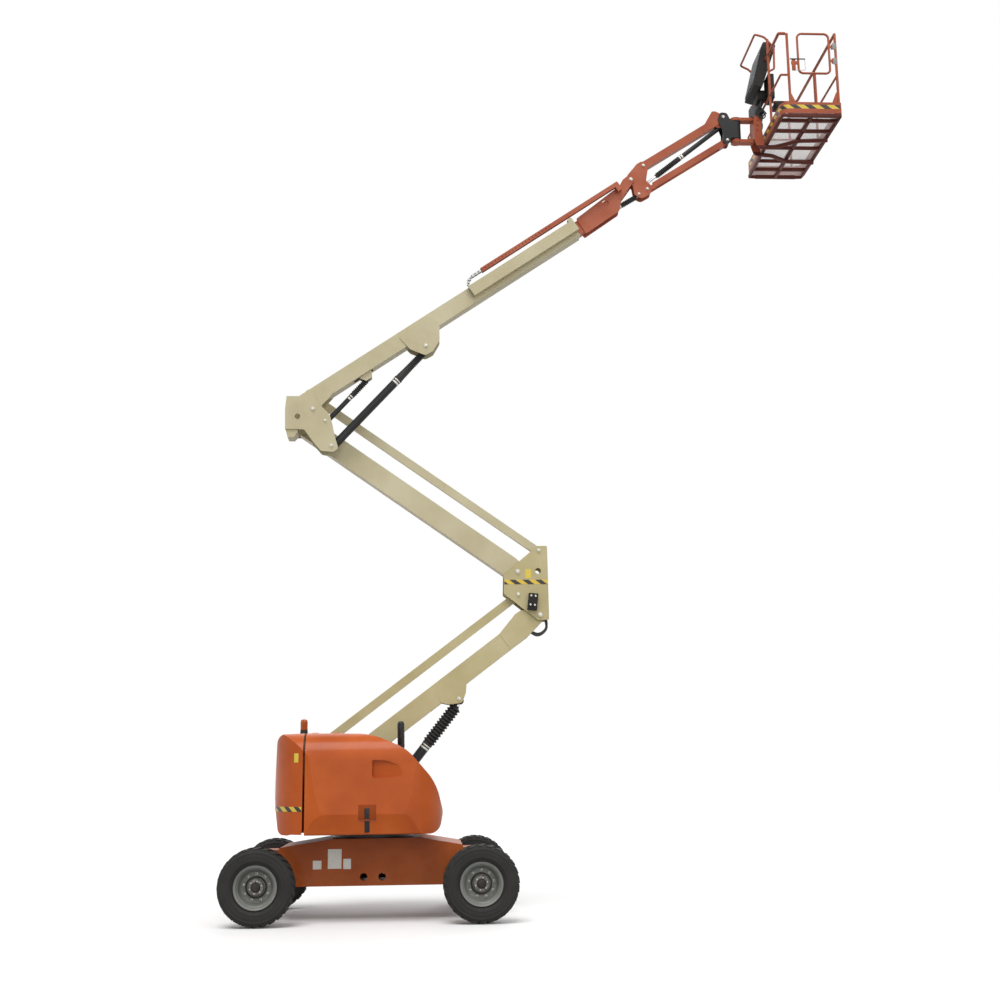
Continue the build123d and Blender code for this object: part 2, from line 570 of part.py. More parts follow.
# ---------------------------------------------------------------- cylinders
def cylinder(name, base, tip, y, barrel_r, rod_r, barrel_length, rod_length, boot, eye, width):
    """Barrel with its base eye and gland, and rod with piston, tip eye and boot, along one line."""
    frame = frame_at(base, angle_of(base, tip))
    length = distance(base, tip)

    def turned(start, end, radius):
        return rod(local(frame, (start, 0), y), local(frame, (end, 0), y), radius)

    bore = barrel_r - 8
    barrel = turned(eye[0] * 0.6, barrel_length, barrel_r) - turned(90, barrel_length - 50, bore)
    barrel -= turned(80, barrel_length + 10, rod_r + 0.6)
    barrel += pin((0, 0), eye[0], y - width / 2, y + width / 2, frame)
    barrel -= pin((0, 0), eye[1] + 0.6, y - barrel_r - 20, y + barrel_r + 20, frame)
    keep(name + "_barrel", barrel)

    shaft = turned(length - rod_length, length - eye[0] * 0.6, rod_r)
    shaft += turned(length - rod_length, length - rod_length + 40, bore - 1)
    shaft += pin((length, 0), eye[0], y - width / 2, y + width / 2, frame)
    shaft -= pin((length, 0), eye[1], y - width / 2 - 1, y + width / 2 + 1, frame)
    start, end, boot_r = boot
    sleeve = turned(start, end, boot_r) - turned(start - 1, end - 10, boot_r - 6)
    shaft += sleeve - turned(start - 1, end + 1, rod_r - 1)
    keep(name + "_rod", shaft)


def cylinders():
    main = frame_at(MAIN_PIVOT, MAIN_ANGLE)
    tower = frame_at(TOWER_FOOT, angle_of(TOWER_FOOT, KNUCKLE_BOOM))
    lug = flat(tower, (TOWER_LUG[0], TOWER_LUG[1] - 30))
    cylinder("tower_cylinder", TOWER_CYL_BASE, lug, Y_TOWER, 58, 34, 1030, 1060, (980, 1560, 68), (42, 26), 110)
    tip = flat(main, (MAIN_LUG[0] + 10, MAIN_LUG[1] - 22))
    cylinder("lift_cylinder", LIFT_BASE, tip, Y_MAIN, 50, 30, 1210, 1230, (1150, 1640, 60), (34, 24), 100)
    tip = flat(main, (MASTER_LUG[0], MASTER_LUG[1] - 15))
    cylinder("master_cylinder", MASTER_BASE, tip, Y_MAIN, 30, 16, 500, 520, (460, 740, 40), (26, 18), 50)
    base = flat(main, SLAVE_BASE)
    cylinder("slave_cylinder", base, SLAVE_PIN, Y_MAIN, 28, 16, 690, 700, (640, 880, 36), (24, 16), 50)
    jib_frame = frame_at(JIB_FOOT, angle_of(JIB_FOOT, JIB_TOP))
    base = flat(jib_frame, JIB_LUG)
    cylinder("jib_cylinder", base, JIB_ROD_PIN, Y_MAIN, 30, 17, 760, 880, (700, 1114, 37), (26, 16), 56)


# ---------------------------------------------------------------- platform
def corner_edges(solid, places):
    """The upright edges of a solid that stand at those places (x, y)."""
    edges = solid.edges().filter_by(Axis.Z)
    return [e for e in edges if any(hypot(e.center().X - x, e.center().Y - y) < 1 for x, y in places)]


def platform():
    (x0, x1), (y0, y1) = PLATFORM_X, PLATFORM_Y
    arm_z = 9526
    support = Pos(ROTATOR_X, Y_MAIN, 9948) * Cylinder(70, 40)
    support += Pos(ROTATOR_X, Y_MAIN, 9644) * Cylinder(70, 40)
    for low, high in ((9928, 9968), (9624, 9664)):
        support += block((ROTATOR_X, 4915), (Y_MAIN - 55, Y_MAIN + 55), (low, high))
    hook = [
        (4905, 9968, 30), (5012, 9968, 40), (5004, 9800, 120), (5028, 9548, 15), (5060, 9548, 0), (5060, 9500, 0),
        (4940, 9500, 100), (4900, 9640, 60),
    ]
    for side in (-1, 1):
        support += plate(hook, *sorted((Y_MAIN + side * 98, Y_MAIN + side * 110)))
        for z in (9900, 9830, 9760):
            support -= pin((4945, z), 10, *sorted((Y_MAIN + side * 97, Y_MAIN + side * 111)))
    support += block((4907, 4925), (Y_MAIN - 110, Y_MAIN + 110), (9650, 9960))
    for side in (-1, 1):
        route = [
            (5000, Y_MAIN + side * 104, arm_z), (5180, Y_MAIN + side * 135, arm_z),
            (5420, Y_MAIN + side * 300, arm_z), (x1 - 15, Y_MAIN + side * 330, arm_z),
        ]
        support += bent_pipe(route, 26, 80)
    keep("platform_support", support)

    floor = block((x0, x1), (y0, y1), (9553, FLOOR_Z))
    round_corners = [(x0, y0), (x0, y1), (x1, y1)]
    floor = fillet(corner_edges(floor, round_corners), 100)
    under = block((x0 + 34, x1 - 34), (y0 + 34, y1 - 34), (9540, FLOOR_Z - 5))
    under_corners = [(x0 + 34, y0 + 34), (x0 + 34, y1 - 34), (x1 - 34, y1 - 34)]
    floor -= fillet(corner_edges(under, under_corners), 66)
    for y in (y0 + 460, Y_MAIN, y1 - 460):
        floor += block((x0 + 30, x1 - 30), (y - 20, y + 20), (9553, FLOOR_Z - 4))
    middle_x = (x0 + x1) / 2
    floor += block((middle_x - 20, middle_x + 20), (y0 + 30, y1 - 30), (9553, FLOOR_Z - 4))
    floor += block((x0 + FLOOR_MARGIN, x1 - FLOOR_MARGIN), (y0 + FLOOR_MARGIN, y1 - FLOOR_MARGIN), (FLOOR_Z - 1, FLOOR_Z + 3))
    keep("platform_floor", floor)

    r = 19
    inset = 22
    xa, xb, ya, yb = x0 + inset, x1 - inset, y0 + inset, y1 - inset
    loop = [(5150, ya, RAIL_Z), (xa, ya, RAIL_Z), (xa, yb, RAIL_Z), (xb, yb, RAIL_Z), (xb, ya, RAIL_Z)]
    rails = bent_pipe(loop, r, 80)
    rails += bent_pipe([(x, y, MID_RAIL_Z) for x, y, z in loop], 14, 80)
    rails += rod((5500, ya, FLOOR_Z + 1), (5500, ya, MID_RAIL_Z + 4), 15.5)
    guard = [
        (xa, Y_MAIN - 268, RAIL_Z), (4869, Y_MAIN - 268, 10649), (4794, Y_MAIN - 268, 10749), (5002, Y_MAIN - 268, 11160),
        (5002, Y_MAIN + 268, 11160), (4794, Y_MAIN + 268, 10749), (4869, Y_MAIN + 268, 10649), (xa, Y_MAIN + 268, RAIL_Z),
    ]
    rails += bent_pipe(guard, 13, 45)
    posts = [
        (xa, ya + 120), (xa, Y_MAIN - 330), (xa, Y_MAIN + 330), (xa, yb - 120), (xa + 120, yb), (xb - 120, yb),
        (xb, yb - 120), (xb, Y_MAIN + 300), (xb, Y_MAIN - 300), (xb, ya + 0.5),
        (5170, ya),
    ]
    for x, y in posts:
        rails += rod((x, y, FLOOR_Z + 1), (x, y, RAIL_Z), r - 2)
    board = block((x0 + 2, x1 - 2), (y0 + 2, y1 - 2), (FLOOR_Z + 0.5, 9750))
    board = fillet(corner_edges(board, [(x0 + 2, y0 + 2), (x0 + 2, y1 - 2), (x1 - 2, y1 - 2)]), 98)
    hollow = block((x0 + 8, x1 - 8), (y0 + 8, y1 - 8), (FLOOR_Z - 5, 9760))
    board -= fillet(corner_edges(hollow, [(x0 + 8, y0 + 8), (x0 + 8, y1 - 8), (x1 - 8, y1 - 8)]), 92)
    rails += board
    for foot, run in ((5160, 85), (5770, -75)):
        gusset = [(foot, 9745, 0), (foot + run, 9745, 0), (foot + run * 0.2, 9895, 8), (foot, 9895, 0)]
        rails += plate(gusset, ya - 8, ya)
    keep("platform_rails", rails)

    low, high = MID_RAIL_Z + 25, RAIL_Z
    hoop = [(5500, ya, low), (5300, ya, low), (5300, ya, high), (5700, ya, high), (5700, ya, low), (5499, ya, low)]
    door = bent_pipe(hoop, 14, 60)
    for z in (10323, 10515):
        door += block((5695, 5750), (ya - 8, ya + 8), (z - 14, z + 14))
        door += Pos(GATE_HINGE_X, ya, z) * Cylinder(13, 60)
    door += block((5210, 5305), (ya - 8, ya + 8), (10270, 10310))
    keep("platform_gate", door)

    box = [(4885, 10334, 20), (5000, 10300, 20), (5210, 10901, 20), (5040, 10950, 30)]
    box = plate(box, Y_MAIN - 250, Y_MAIN + 250)
    box -= rod((xa, Y_MAIN - 260, RAIL_Z), (xa, Y_MAIN + 260, RAIL_Z), r + 0.4)
    keep("control_console", box)


chassis()
axles()
wheels()
turntable()
lower_boom()
knuckle()
mid_boom()
upright()
main_boom()
fly()
jib()
cylinders()
platform()

os.makedirs("parts", exist_ok=True)
for node, solid in PARTS.items():
    export_step(solid, f"parts/{node}.step")
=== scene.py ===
import math

import bpy
from mathutils import Matrix, Vector


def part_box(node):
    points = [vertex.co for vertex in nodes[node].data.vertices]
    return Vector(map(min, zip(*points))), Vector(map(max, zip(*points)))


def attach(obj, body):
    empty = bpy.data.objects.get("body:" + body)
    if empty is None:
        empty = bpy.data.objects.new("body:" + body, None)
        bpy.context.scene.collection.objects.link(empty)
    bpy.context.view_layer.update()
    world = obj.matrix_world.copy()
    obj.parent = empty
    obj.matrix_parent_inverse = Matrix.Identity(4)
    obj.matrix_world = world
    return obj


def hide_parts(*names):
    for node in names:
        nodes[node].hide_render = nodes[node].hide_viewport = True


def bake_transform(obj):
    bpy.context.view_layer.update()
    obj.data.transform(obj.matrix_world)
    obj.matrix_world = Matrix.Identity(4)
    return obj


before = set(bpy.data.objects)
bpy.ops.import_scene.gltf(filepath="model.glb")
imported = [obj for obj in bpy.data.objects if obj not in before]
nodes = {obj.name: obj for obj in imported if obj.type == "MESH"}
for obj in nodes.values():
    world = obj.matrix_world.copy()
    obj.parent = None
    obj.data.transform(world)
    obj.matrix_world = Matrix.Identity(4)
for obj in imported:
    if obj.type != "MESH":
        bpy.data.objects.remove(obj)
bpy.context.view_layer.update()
print("frame loaded:", len(nodes), "nodes")


# small tools for places: a plane is its origin (x, z) and its angle in degrees above level
mainPlane = ((-0.758, 5.997), 34.0)
yMain = -0.03  # middle plane of main boom, jib and platform
yTower = 0.21  # middle plane of the tower's booms


def at(plane, along, up, y):
    (x, z), angle = plane
    cos, sin = math.cos(math.radians(angle)), math.sin(math.radians(angle))
    return Vector((x + along * cos - up * sin, y, z + along * sin + up * cos))


def tone(*levels):
    # screen levels, 0 to 255, as a linear colour
    shares = [c / 255 / 12.92 if c <= 10 else ((c / 255 + 0.055) / 1.055) ** 2.4 for c in levels]
    return (*shares, 1)


# shader sums: a Value wraps a socket, and Python's operators add the Math nodes
class Value:
    def __init__(self, shader, socket):
        self.shader, self.socket = shader, socket

    def maths(self, operation, *others):
        return self.shader.add("Math", {"operation": operation}, *others)

    def __add__(self, other):
        return self.maths("ADD", self, other)

    def __sub__(self, other):
        return self.maths("SUBTRACT", self, other)

    def __rsub__(self, other):
        return self.maths("SUBTRACT", other, self)

    def __mul__(self, other):
        return self.maths("MULTIPLY", self, other)

    def __truediv__(self, other):
        return self.maths("DIVIDE", self, other)

    def __gt__(self, other):
        return self.maths("GREATER_THAN", self, other)

    def fraction(self):
        return self.maths("FRACT", self)

    def between(self, low, high):
        return self.shader.add("MapRange", {"clamp": True, "interpolation_type": "SMOOTHSTEP"}, self, low, high)


class Shader:
    def __init__(self, name, **fixed):
        self.material = bpy.data.materials.new(name)
        self.material.use_nodes = True
        self.tree = self.material.node_tree
        self.surface = self.tree.nodes["Principled BSDF"]
        for socket, value in fixed.items():
            self.surface.inputs[socket.replace("_", " ")].default_value = value
        self.place = self.add("TexCoord", {}, output="Object")

    def fill(self, node, rows):
        for key, value in rows:
            if isinstance(value, Value):
                self.tree.links.new(value.socket, node.inputs[key])
            else:
                node.inputs[key].default_value = value

    def add(self, kind, settings, *inputs, output=0, **named):
        node = self.tree.nodes.new("ShaderNode" + kind)
        for key, value in settings.items():
            if key == "stops":
                for index, (position, colour) in enumerate(value):
                    stop = node.color_ramp.elements[index] if index < 2 else node.color_ramp.elements.new(position)
                    stop.position, stop.color = position, colour
            else:
                setattr(node, key, value)
        self.fill(node, list(enumerate(inputs)) + [(key.replace("_", " "), value) for key, value in named.items()])
        return Value(self, node.outputs[output])

    def noise(self, scale, detail=4, roughness=0.55, stretch=None):
        place = self.place
        if stretch:
            place = self.add("Mapping", {}, Vector=place, Scale=stretch)
        return self.add("TexNoise", {}, Vector=place, Scale=scale, Detail=detail, Roughness=roughness)

    def ramp(self, value, *stops):
        return self.add("ValToRGB", {"stops": stops}, value)

    def mix(self, factor, first, second):
        node = self.tree.nodes.new("ShaderNodeMix")
        node.data_type = "RGBA"
        self.fill(node, ((0, factor), (6, first), (7, second)))
        return Value(self, node.outputs[2])

    def axes(self):
        node = self.tree.nodes.new("ShaderNodeSeparateXYZ")
        self.tree.links.new(self.place.socket, node.inputs[0])
        return [Value(self, socket) for socket in node.outputs]

    def feed(self, socket, value):
        self.tree.links.new(value.socket, self.surface.inputs[socket])

    def bump(self, height, strength, distance):
        self.feed("Normal", self.add("Bump", {}, Height=height, Strength=strength, Distance=distance))

    def made(self, colour, roughness, *relief):
        self.feed("Base Color", colour)
        self.feed("Roughness", roughness)
        self.bump(*relief)
        return self.material


def paint(name, colour, dark, pale, roughness, coat=0.0, dust=0.0, grain=180.0, grainDepth=0.0004, paintedShadeBelow=None):
    colour, dark, pale = (tone(*levels) for levels in (colour, dark, pale))
    shade = Shader(name, Roughness=roughness, Coat_Roughness=0.1, Specular_IOR_Level=0.16)
    broad, fine = shade.noise(1.7, 5), shade.noise(grain, 2)
    body = shade.ramp(broad, (0.25, dark), (0.5, colour), (0.78, pale))
    scuffs = shade.noise(9, 8, 0.7, (1, 1, 0.35)).between(0.58, 0.74)
    body = shade.mix(scuffs * 0.25, body, pale)
    if dust:
        low = 1 - shade.axes()[2].between(0.1, 1.1)
        body = shade.mix(low * dust * shade.noise(14, 6).between(0.3, 0.75), body, tone(120, 108, 92))
    if paintedShadeBelow:  # a height, and the dark colour painted below it as shade
        body = shade.mix(shade.axes()[2] > paintedShadeBelow[0], paintedShadeBelow[1], body)
    if coat:
        shade.surface.inputs["Coat Weight"].default_value = coat
    return shade.made(body, scuffs * 0.12 + fine * 0.05 + roughness, fine, 0.25, grainDepth)


def metal(name, colour, roughness, scale=60, wear=0.15):
    shade = Shader(name, Metallic=1.0)
    cloud = shade.noise(scale, 6)
    dark = tuple(c * 0.45 for c in colour[:3]) + (1,)
    worn = shade.mix(cloud.between(0.35, 0.7) * wear * 3, colour, dark)
    return shade.made(worn, cloud * wear + roughness, shade.noise(scale * 6, 2), 0.2, 0.0004)


def rubber(name, colour, pale, roughness, dust):
    shade = Shader(name, Specular_IOR_Level=0.35)
    grit = shade.noise(46, 8, 0.7)
    tint = shade.ramp(shade.noise(5, 4), (0.3, colour), (0.72, pale))
    tint = shade.mix(grit.between(0.52, 0.8) * dust, tint, tone(112, 106, 98))
    return shade.made(tint, grit * 0.18 + roughness, shade.noise(260, 3), 0.35, 0.0006)


def stripes(name, plane, pitch, lean):
    shade = Shader(name, Roughness=0.42)
    x, y, z = shade.axes()
    along = (x if plane == "x" else x - y) + z * lean
    bar = (along / pitch).fraction() > 0.5
    worn = shade.noise(70, 6, 0.7).between(0.62, 0.75)
    colour = shade.mix(bar, tone(222, 190, 62), tone(38, 34, 32))
    colour = shade.mix(worn * 0.35, colour, tone(180, 160, 110))
    return shade.made(colour, worn * 0.2 + 0.38, worn, 0.15, 0.0005)


def label(name, colour, edge):
    shade = Shader(name, Roughness=0.4)
    smudge = shade.noise(34, 6, 0.7).between(0.45, 0.8)
    tint = shade.mix(smudge * 0.4, colour, edge)
    return shade.made(tint, smudge * 0.25 + 0.35, shade.noise(150, 2), 0.1, 0.0003)


finish = {
    "coverOrange": paint(
        "coverOrange", (186, 84, 22), (168, 72, 18), (202, 100, 38), 0.28, coat=0.14, grainDepth=0.0002,
    ),
    "castOrange": paint(
        "castOrange", (184, 82, 24), (166, 70, 20), (196, 94, 38), 0.32, coat=0.12, grain=90, grainDepth=0.0007,
    ),
    "chassisOrange": paint("chassisOrange", (160, 76, 24), (138, 62, 20), (176, 92, 42), 0.45, coat=0.1, dust=0.15),
    "cream": paint("cream", (200, 190, 156), (188, 177, 140), (210, 201, 170), 0.42, coat=0.08),
    "towerCream": paint("towerCream", (193, 181, 137), (180, 168, 122), (205, 194, 154), 0.42, coat=0.08),
    # the deck frame is orange paint, drawn dark brown here: painted shade from below
    "frameShadeBrown": paint("frameShadeBrown", (96, 50, 42), (80, 40, 34), (116, 66, 54), 0.55),
    "fadedOrange": paint("fadedOrange", (174, 92, 64), (154, 76, 50), (190, 112, 86), 0.42, coat=0.1),
    # below the deck's height the fork arms are painted dark brown: painted shade under the platform
    "support": paint("support", (174, 92, 64), (154, 76, 50), (190, 112, 86), 0.45, paintedShadeBelow=(9.556, tone(100, 52, 44))),
    # a darker copy of the cover orange for the latch recess: painted shade in the hollow
    "recessShade": paint("recessShade", (146, 64, 18), (134, 57, 15), (156, 72, 24), 0.4),
    "black": paint("blackPaint", (34, 34, 35), (26, 26, 27), (46, 46, 47), 0.3, coat=0.2, dust=0.2),
    "blackMatte": paint("blackMatte", (44, 43, 42), (34, 33, 32), (62, 60, 58), 0.55, dust=0.3),
    "rimGrey": paint("rimGrey", (122, 126, 122), (104, 108, 104), (140, 143, 139), 0.3, coat=0.3, dust=0.5),
    "grey": paint("boxGrey", (150, 152, 150), (130, 132, 130), (170, 172, 170), 0.45),
    "tyre": rubber("tyreRubber", tone(31, 30, 29), tone(40, 39, 37), 0.66, 0.14),
    "boot": rubber("bootRubber", tone(36, 36, 36), tone(48, 48, 47), 0.5, 0.15),
    "hose": rubber("hoseRubber", tone(34, 34, 35), tone(46, 46, 46), 0.42, 0.1),
    "chrome": metal("chrome", tone(205, 206, 208), 0.12, 30, 0.08),
    "zinc": metal("zinc", tone(196, 194, 186), 0.3),
    "castHub": metal("castHub", tone(120, 118, 114), 0.45, 40, 0.3),
    "silver": metal("trackSilver", tone(178, 178, 174), 0.35),
    "yellowLabel": label("yellowLabel", tone(226, 200, 70), tone(176, 152, 60)),
    "whiteLabel": label("whiteLabel", tone(214, 212, 204), tone(170, 166, 156)),
    "hazardX": stripes("hazardX", "x", 0.115, 0.9),
    "hazardWide": stripes("hazardWide", "x", 0.158, 1.3),
    "hazardTape": stripes("hazardTape", "xy", 0.19, 1.3),
    "mesh": metal("floorMesh", tone(190, 184, 182), 0.5),
    "screen": paint("panelGrey", (112, 114, 116), (96, 98, 100), (128, 130, 132), 0.75),
}


def amberLens():
    shade = Shader("amberLens", Roughness=0.15, IOR=1.49, Transmission_Weight=0.35)
    ring = shade.axes()[2] * 90
    shade.feed("Base Color", shade.ramp(shade.noise(22, 3), (0.3, tone(176, 84, 24)), (0.7, tone(206, 112, 36))))
    shade.bump(ring.fraction(), 0.5, 0.002)
    return shade.material


finish["amber"] = amberLens()
print("materials made:", len(finish))

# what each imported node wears
wears = {
    "coverOrange": ["hood_near", "hood_far"],
    "castOrange": ["counterweight"],
    "chassisOrange": ["chassis_frame", "turntable_deck"],
    "towerCream": ["lower_boom", "lower_link", "knuckle"],
    "cream": ["mid_boom", "upper_link", "upright", "main_boom", "track_tray"],
    "fadedOrange": ["fly_boom", "push_tube", "jib_knuckle", "jib_boom", "jib_link", "platform_rails", "platform_gate"],
    "support": ["platform_support"],
    "black": [n for n in nodes if n.endswith("_barrel")] + ["exhaust_pipe", "jib_head", "slewing_ring"],
    "blackMatte": [
        "steer_axle", "drive_axle", "steer_knuckle_near", "steer_knuckle_far", "control_console", "engine_block",
    ],
    "silver": ["track_bend"],
    "amber": ["beacon"],
    "tyre": [n for n in nodes if n.startswith("tyre_")],
    "rimGrey": [n for n in nodes if n.startswith("rim_")],
    "chrome": [n for n in nodes if n.endswith("_rod")],
    "zinc": ["platform_floor"],
}
for name, members in wears.items():
    for node in members:
        nodes[node].data.materials.clear()
        nodes[node].data.materials.append(finish[name])


# modelling by operators
def fresh():
    if bpy.context.object and bpy.context.object.mode != "OBJECT":
        bpy.ops.object.mode_set(mode="OBJECT")
    bpy.ops.object.select_all(action="DESELECT")


def only(obj):
    fresh()
    obj.select_set(True)
    bpy.context.view_layer.objects.active = obj


def named(name):
    obj = bpy.context.object
    obj.name = obj.data.name = name
    return obj


def opened(obj):
    only(obj)
    bpy.ops.object.mode_set(mode="EDIT")
    bpy.ops.mesh.select_all(action="SELECT")


def settle(obj, angle, material):
    only(obj)
    bpy.ops.object.transform_apply(location=True, rotation=True, scale=True)
    opened(obj)
    bpy.ops.mesh.remove_doubles(threshold=0.00001)
    bpy.ops.mesh.normals_make_consistent(inside=False)
    bpy.ops.object.mode_set(mode="OBJECT")
    bpy.ops.object.shade_smooth_by_angle(angle=math.radians(angle))
    obj.data.materials.clear()
    obj.data.materials.append(finish[material])
    return obj


def bevelled(obj, size, segments):
    opened(obj)
    bpy.ops.mesh.bevel(offset=size, segments=segments, affect="EDGES")
    bpy.ops.object.mode_set(mode="OBJECT")
    return obj


def block(name, middle, size):
    # a plain cube brought to its place and size
    fresh()
    bpy.ops.mesh.primitive_cube_add(size=1, location=middle, scale=size)
    obj = named(name)
    bpy.ops.object.transform_apply(location=True, rotation=True, scale=True)
    return obj


def turned(name, rows, steps, material, angle=32):
    # a lathe form about Z: rows are (radius, height), each ring extruded from the last and scaled
    fresh()
    bpy.ops.mesh.primitive_circle_add(
        vertices=steps, radius=rows[0][0], location=(0, 0, rows[0][1]),
        fill_type="NGON" if rows[0][0] > 0.0005 and rows[0] != rows[-1] else "NOTHING",
    )
    obj = named(name)
    bpy.ops.object.transform_apply(location=True)
    opened(obj)
    bpy.ops.mesh.select_mode(type="EDGE")
    radius, height = rows[0]
    for newRadius, newHeight in rows[1:]:
        bpy.ops.mesh.extrude_edges_move(TRANSFORM_OT_translate={"value": (0, 0, newHeight - height)})
        if abs(newRadius - radius) > 1e-7:
            share = newRadius / radius
            bpy.ops.transform.resize(value=(share, share, 1), center_override=(0, 0, newHeight))
        radius, height = newRadius, newHeight
    if rows[0] != rows[-1] and radius > 0.0005:
        bpy.ops.mesh.edge_face_add()
    bpy.ops.object.mode_set(mode="OBJECT")
    return settle(obj, angle, material)


def placed(obj, point, direction=(0, 0, 1)):
    turn = Vector(direction).to_track_quat("Z", "Y").to_matrix().to_4x4()
    obj.data.transform(Matrix.Translation(Vector(point)) @ turn)
    return obj


def copyOf(obj, name):
    twin = obj.copy()
    twin.data = obj.data.copy()
    twin.name = twin.data.name = name
    bpy.context.scene.collection.objects.link(twin)
    return twin


def joined(name, parts):
    fresh()
    for part in parts:
        part.select_set(True)
    bpy.context.view_layer.objects.active = parts[0]
    if len(parts) > 1:
        bpy.ops.object.join()
    return named(name)


def ringed(obj, name, count, start):
    parts = []
    for step in range(count):
        twin = copyOf(obj, name)
        twin.data.transform(Matrix.Rotation(start + 2 * math.pi * step / count, 4, "Z"))
        parts.append(twin)
    bpy.data.objects.remove(obj)
    return joined(name, parts)


def slab(name, low, high, bevel, material, segments=2):
    # a block from its low and high corners, with its edges bevelled
    obj = block(name, [(a + b) / 2 for a, b in zip(low, high)], [b - a for a, b in zip(low, high)])
    return settle(bevelled(obj, bevel, segments), 40, material)


def tilted(obj, plane, y):
    # a piece made in a plane's own (along, y, up) goes to its place
    (x, z), angle = plane
    obj.data.transform(Matrix.Translation((x, y, z)) @ Matrix.Rotation(-math.radians(angle), 4, "Y"))
    return obj


def outline(name, rows, thick, bevel, material):
    # a flat plate in the XZ plane: a circle's corners are moved to the rows (x, z), then it gets its thickness
    fresh()
    bpy.ops.mesh.primitive_circle_add(vertices=len(rows), radius=1, fill_type="NGON")
    obj = named(name)
    for vertex, (x, z) in zip(obj.data.vertices, rows):
        vertex.co = (x, 0, z)
    opened(obj)
    bpy.ops.mesh.extrude_region_move(TRANSFORM_OT_translate={"value": (0, thick, 0)})
    bpy.ops.mesh.select_all(action="SELECT")
    bpy.ops.mesh.normals_make_consistent(inside=False)
    return settle(bevelled(obj, bevel, 2), 40, material)


def lineOn(name, points, kind, material):
    curve = bpy.data.curves.new(name, "CURVE")
    curve.dimensions = "3D"
    line = curve.splines.new(kind)
    line.points.add(len(points) - 1)
    for point, place in zip(line.points, points):
        point.co = (*place, 1)
    obj = bpy.data.objects.new(name, curve)
    bpy.context.scene.collection.objects.link(obj)
    curve.materials.append(finish[material])
    return obj, curve, line


def tube(name, points, radius, material, resolution=10):
    # a hose or pipe on one smooth line
    obj, curve, line = lineOn(name, points, "NURBS", material)
    line.order_u = 3
    line.use_endpoint_u = True
    curve.resolution_u = resolution
    curve.bevel_depth = radius
    curve.bevel_resolution = 4
    curve.use_fill_caps = True
    return obj


def meshed(obj):
    only(obj)
    bpy.ops.object.convert(target="MESH")
    return bpy.context.object


def bentTube(name, points, radius, bend, material):
    # a tube of straight runs with a round bend of that size at each corner
    rows = [Vector(points[0])]
    for before, corner, after in zip(points, points[1:], points[2:]):
        corner = Vector(corner)
        ways = Vector(before) - corner, Vector(after) - corner
        reach = min(bend, *(way.length * 0.48 for way in ways))
        rows += [corner + ways[0].normalized() * reach, corner, corner + ways[1].normalized() * reach]
    rows.append(Vector(points[-1]))
    return meshed(tube(name, rows, radius, material, resolution=6))


def ribbon(name, points, half, material, thick=0.0016, closed=False):
    # a thin strip standing on a line of points
    obj, curve, line = lineOn(name, points, "POLY", material)
    curve.extrude = half
    curve.bevel_depth = thick / 2
    curve.bevel_resolution = 0
    line.use_cyclic_u = closed
    return settle(meshed(obj), 40, material)


# wheels: a deep ring of rubber with two rows of blocks and a row between them, a dished rim, hub and nine nuts
tyreSize = {"radius": 0.42, "half": 0.155, "groove": 0.019, "blocks": 26, "bead": 0.232}


def makeTyre():
    base = tyreSize["radius"] - tyreSize["groove"]
    half, bead = tyreSize["half"], tyreSize["bead"]
    side = [
        (bead, 0.112), (bead + 0.004, 0.126), (bead + 0.012, 0.134), (bead + 0.02, 0.131), (bead + 0.024, 0.138),
        (bead + 0.05, 0.148), (bead + 0.054, 0.1505), (bead + 0.06, 0.1485), (bead + 0.085, 0.153), (bead + 0.1, half),
        (bead + 0.105, half - 0.002), (bead + 0.128, 0.1525), (bead + 0.133, 0.1548), (bead + 0.138, 0.152),
        (bead + 0.15, 0.148), (base - 0.006, 0.136), (base, 0.122),
    ]
    rows = side + [(base, 0.05), (base + 0.002, 0)]
    rows += [(base, -0.05)] + [(r, -a) for r, a in reversed(side)] + [side[0]]
    carcass = turned("tyre", rows, 72, "tyre", 40)
    count, step = tyreSize["blocks"], 2 * math.pi / tyreSize["blocks"]
    blocks = []
    for end, start in ((-1, 0.0), (1, 0.5)):
        lug = block("lug", (base + 0.006, 0, end * 0.098), (0.028, 0.062, 0.086))
        for vertex in lug.data.vertices:
            outer, edge = vertex.co.x > base + 0.006, abs(vertex.co.z) > 0.1
            vertex.co.x = tyreSize["radius"] - (0.014 if edge else 0.001) if outer else vertex.co.x
            vertex.co.y += end * (0.018 if edge else -0.02)
            vertex.co.y *= 1.0 if outer else 1.12
            if edge and not outer:
                vertex.co.x -= 0.03
        lug.data.update()
        lug = settle(bevelled(lug, 0.003, 1), 30, "tyre")
        blocks.append(ringed(lug, "blocks", count, start * step))
    lug = block("lug", (base + 0.008, 0, 0), (0.02, 0.05, 0.05))
    for vertex in lug.data.vertices:
        vertex.co.y += 0.4 * vertex.co.z
    lug = settle(bevelled(lug, 0.003, 1), 30, "tyre")
    blocks.append(ringed(lug, "middle", count, 0.25 * step))
    return joined("tyre", [carcass] + blocks)


rimSize = {"nuts": 9, "nutCircle": 0.142, "hubBolts": 6, "hubBoltCircle": 0.066}


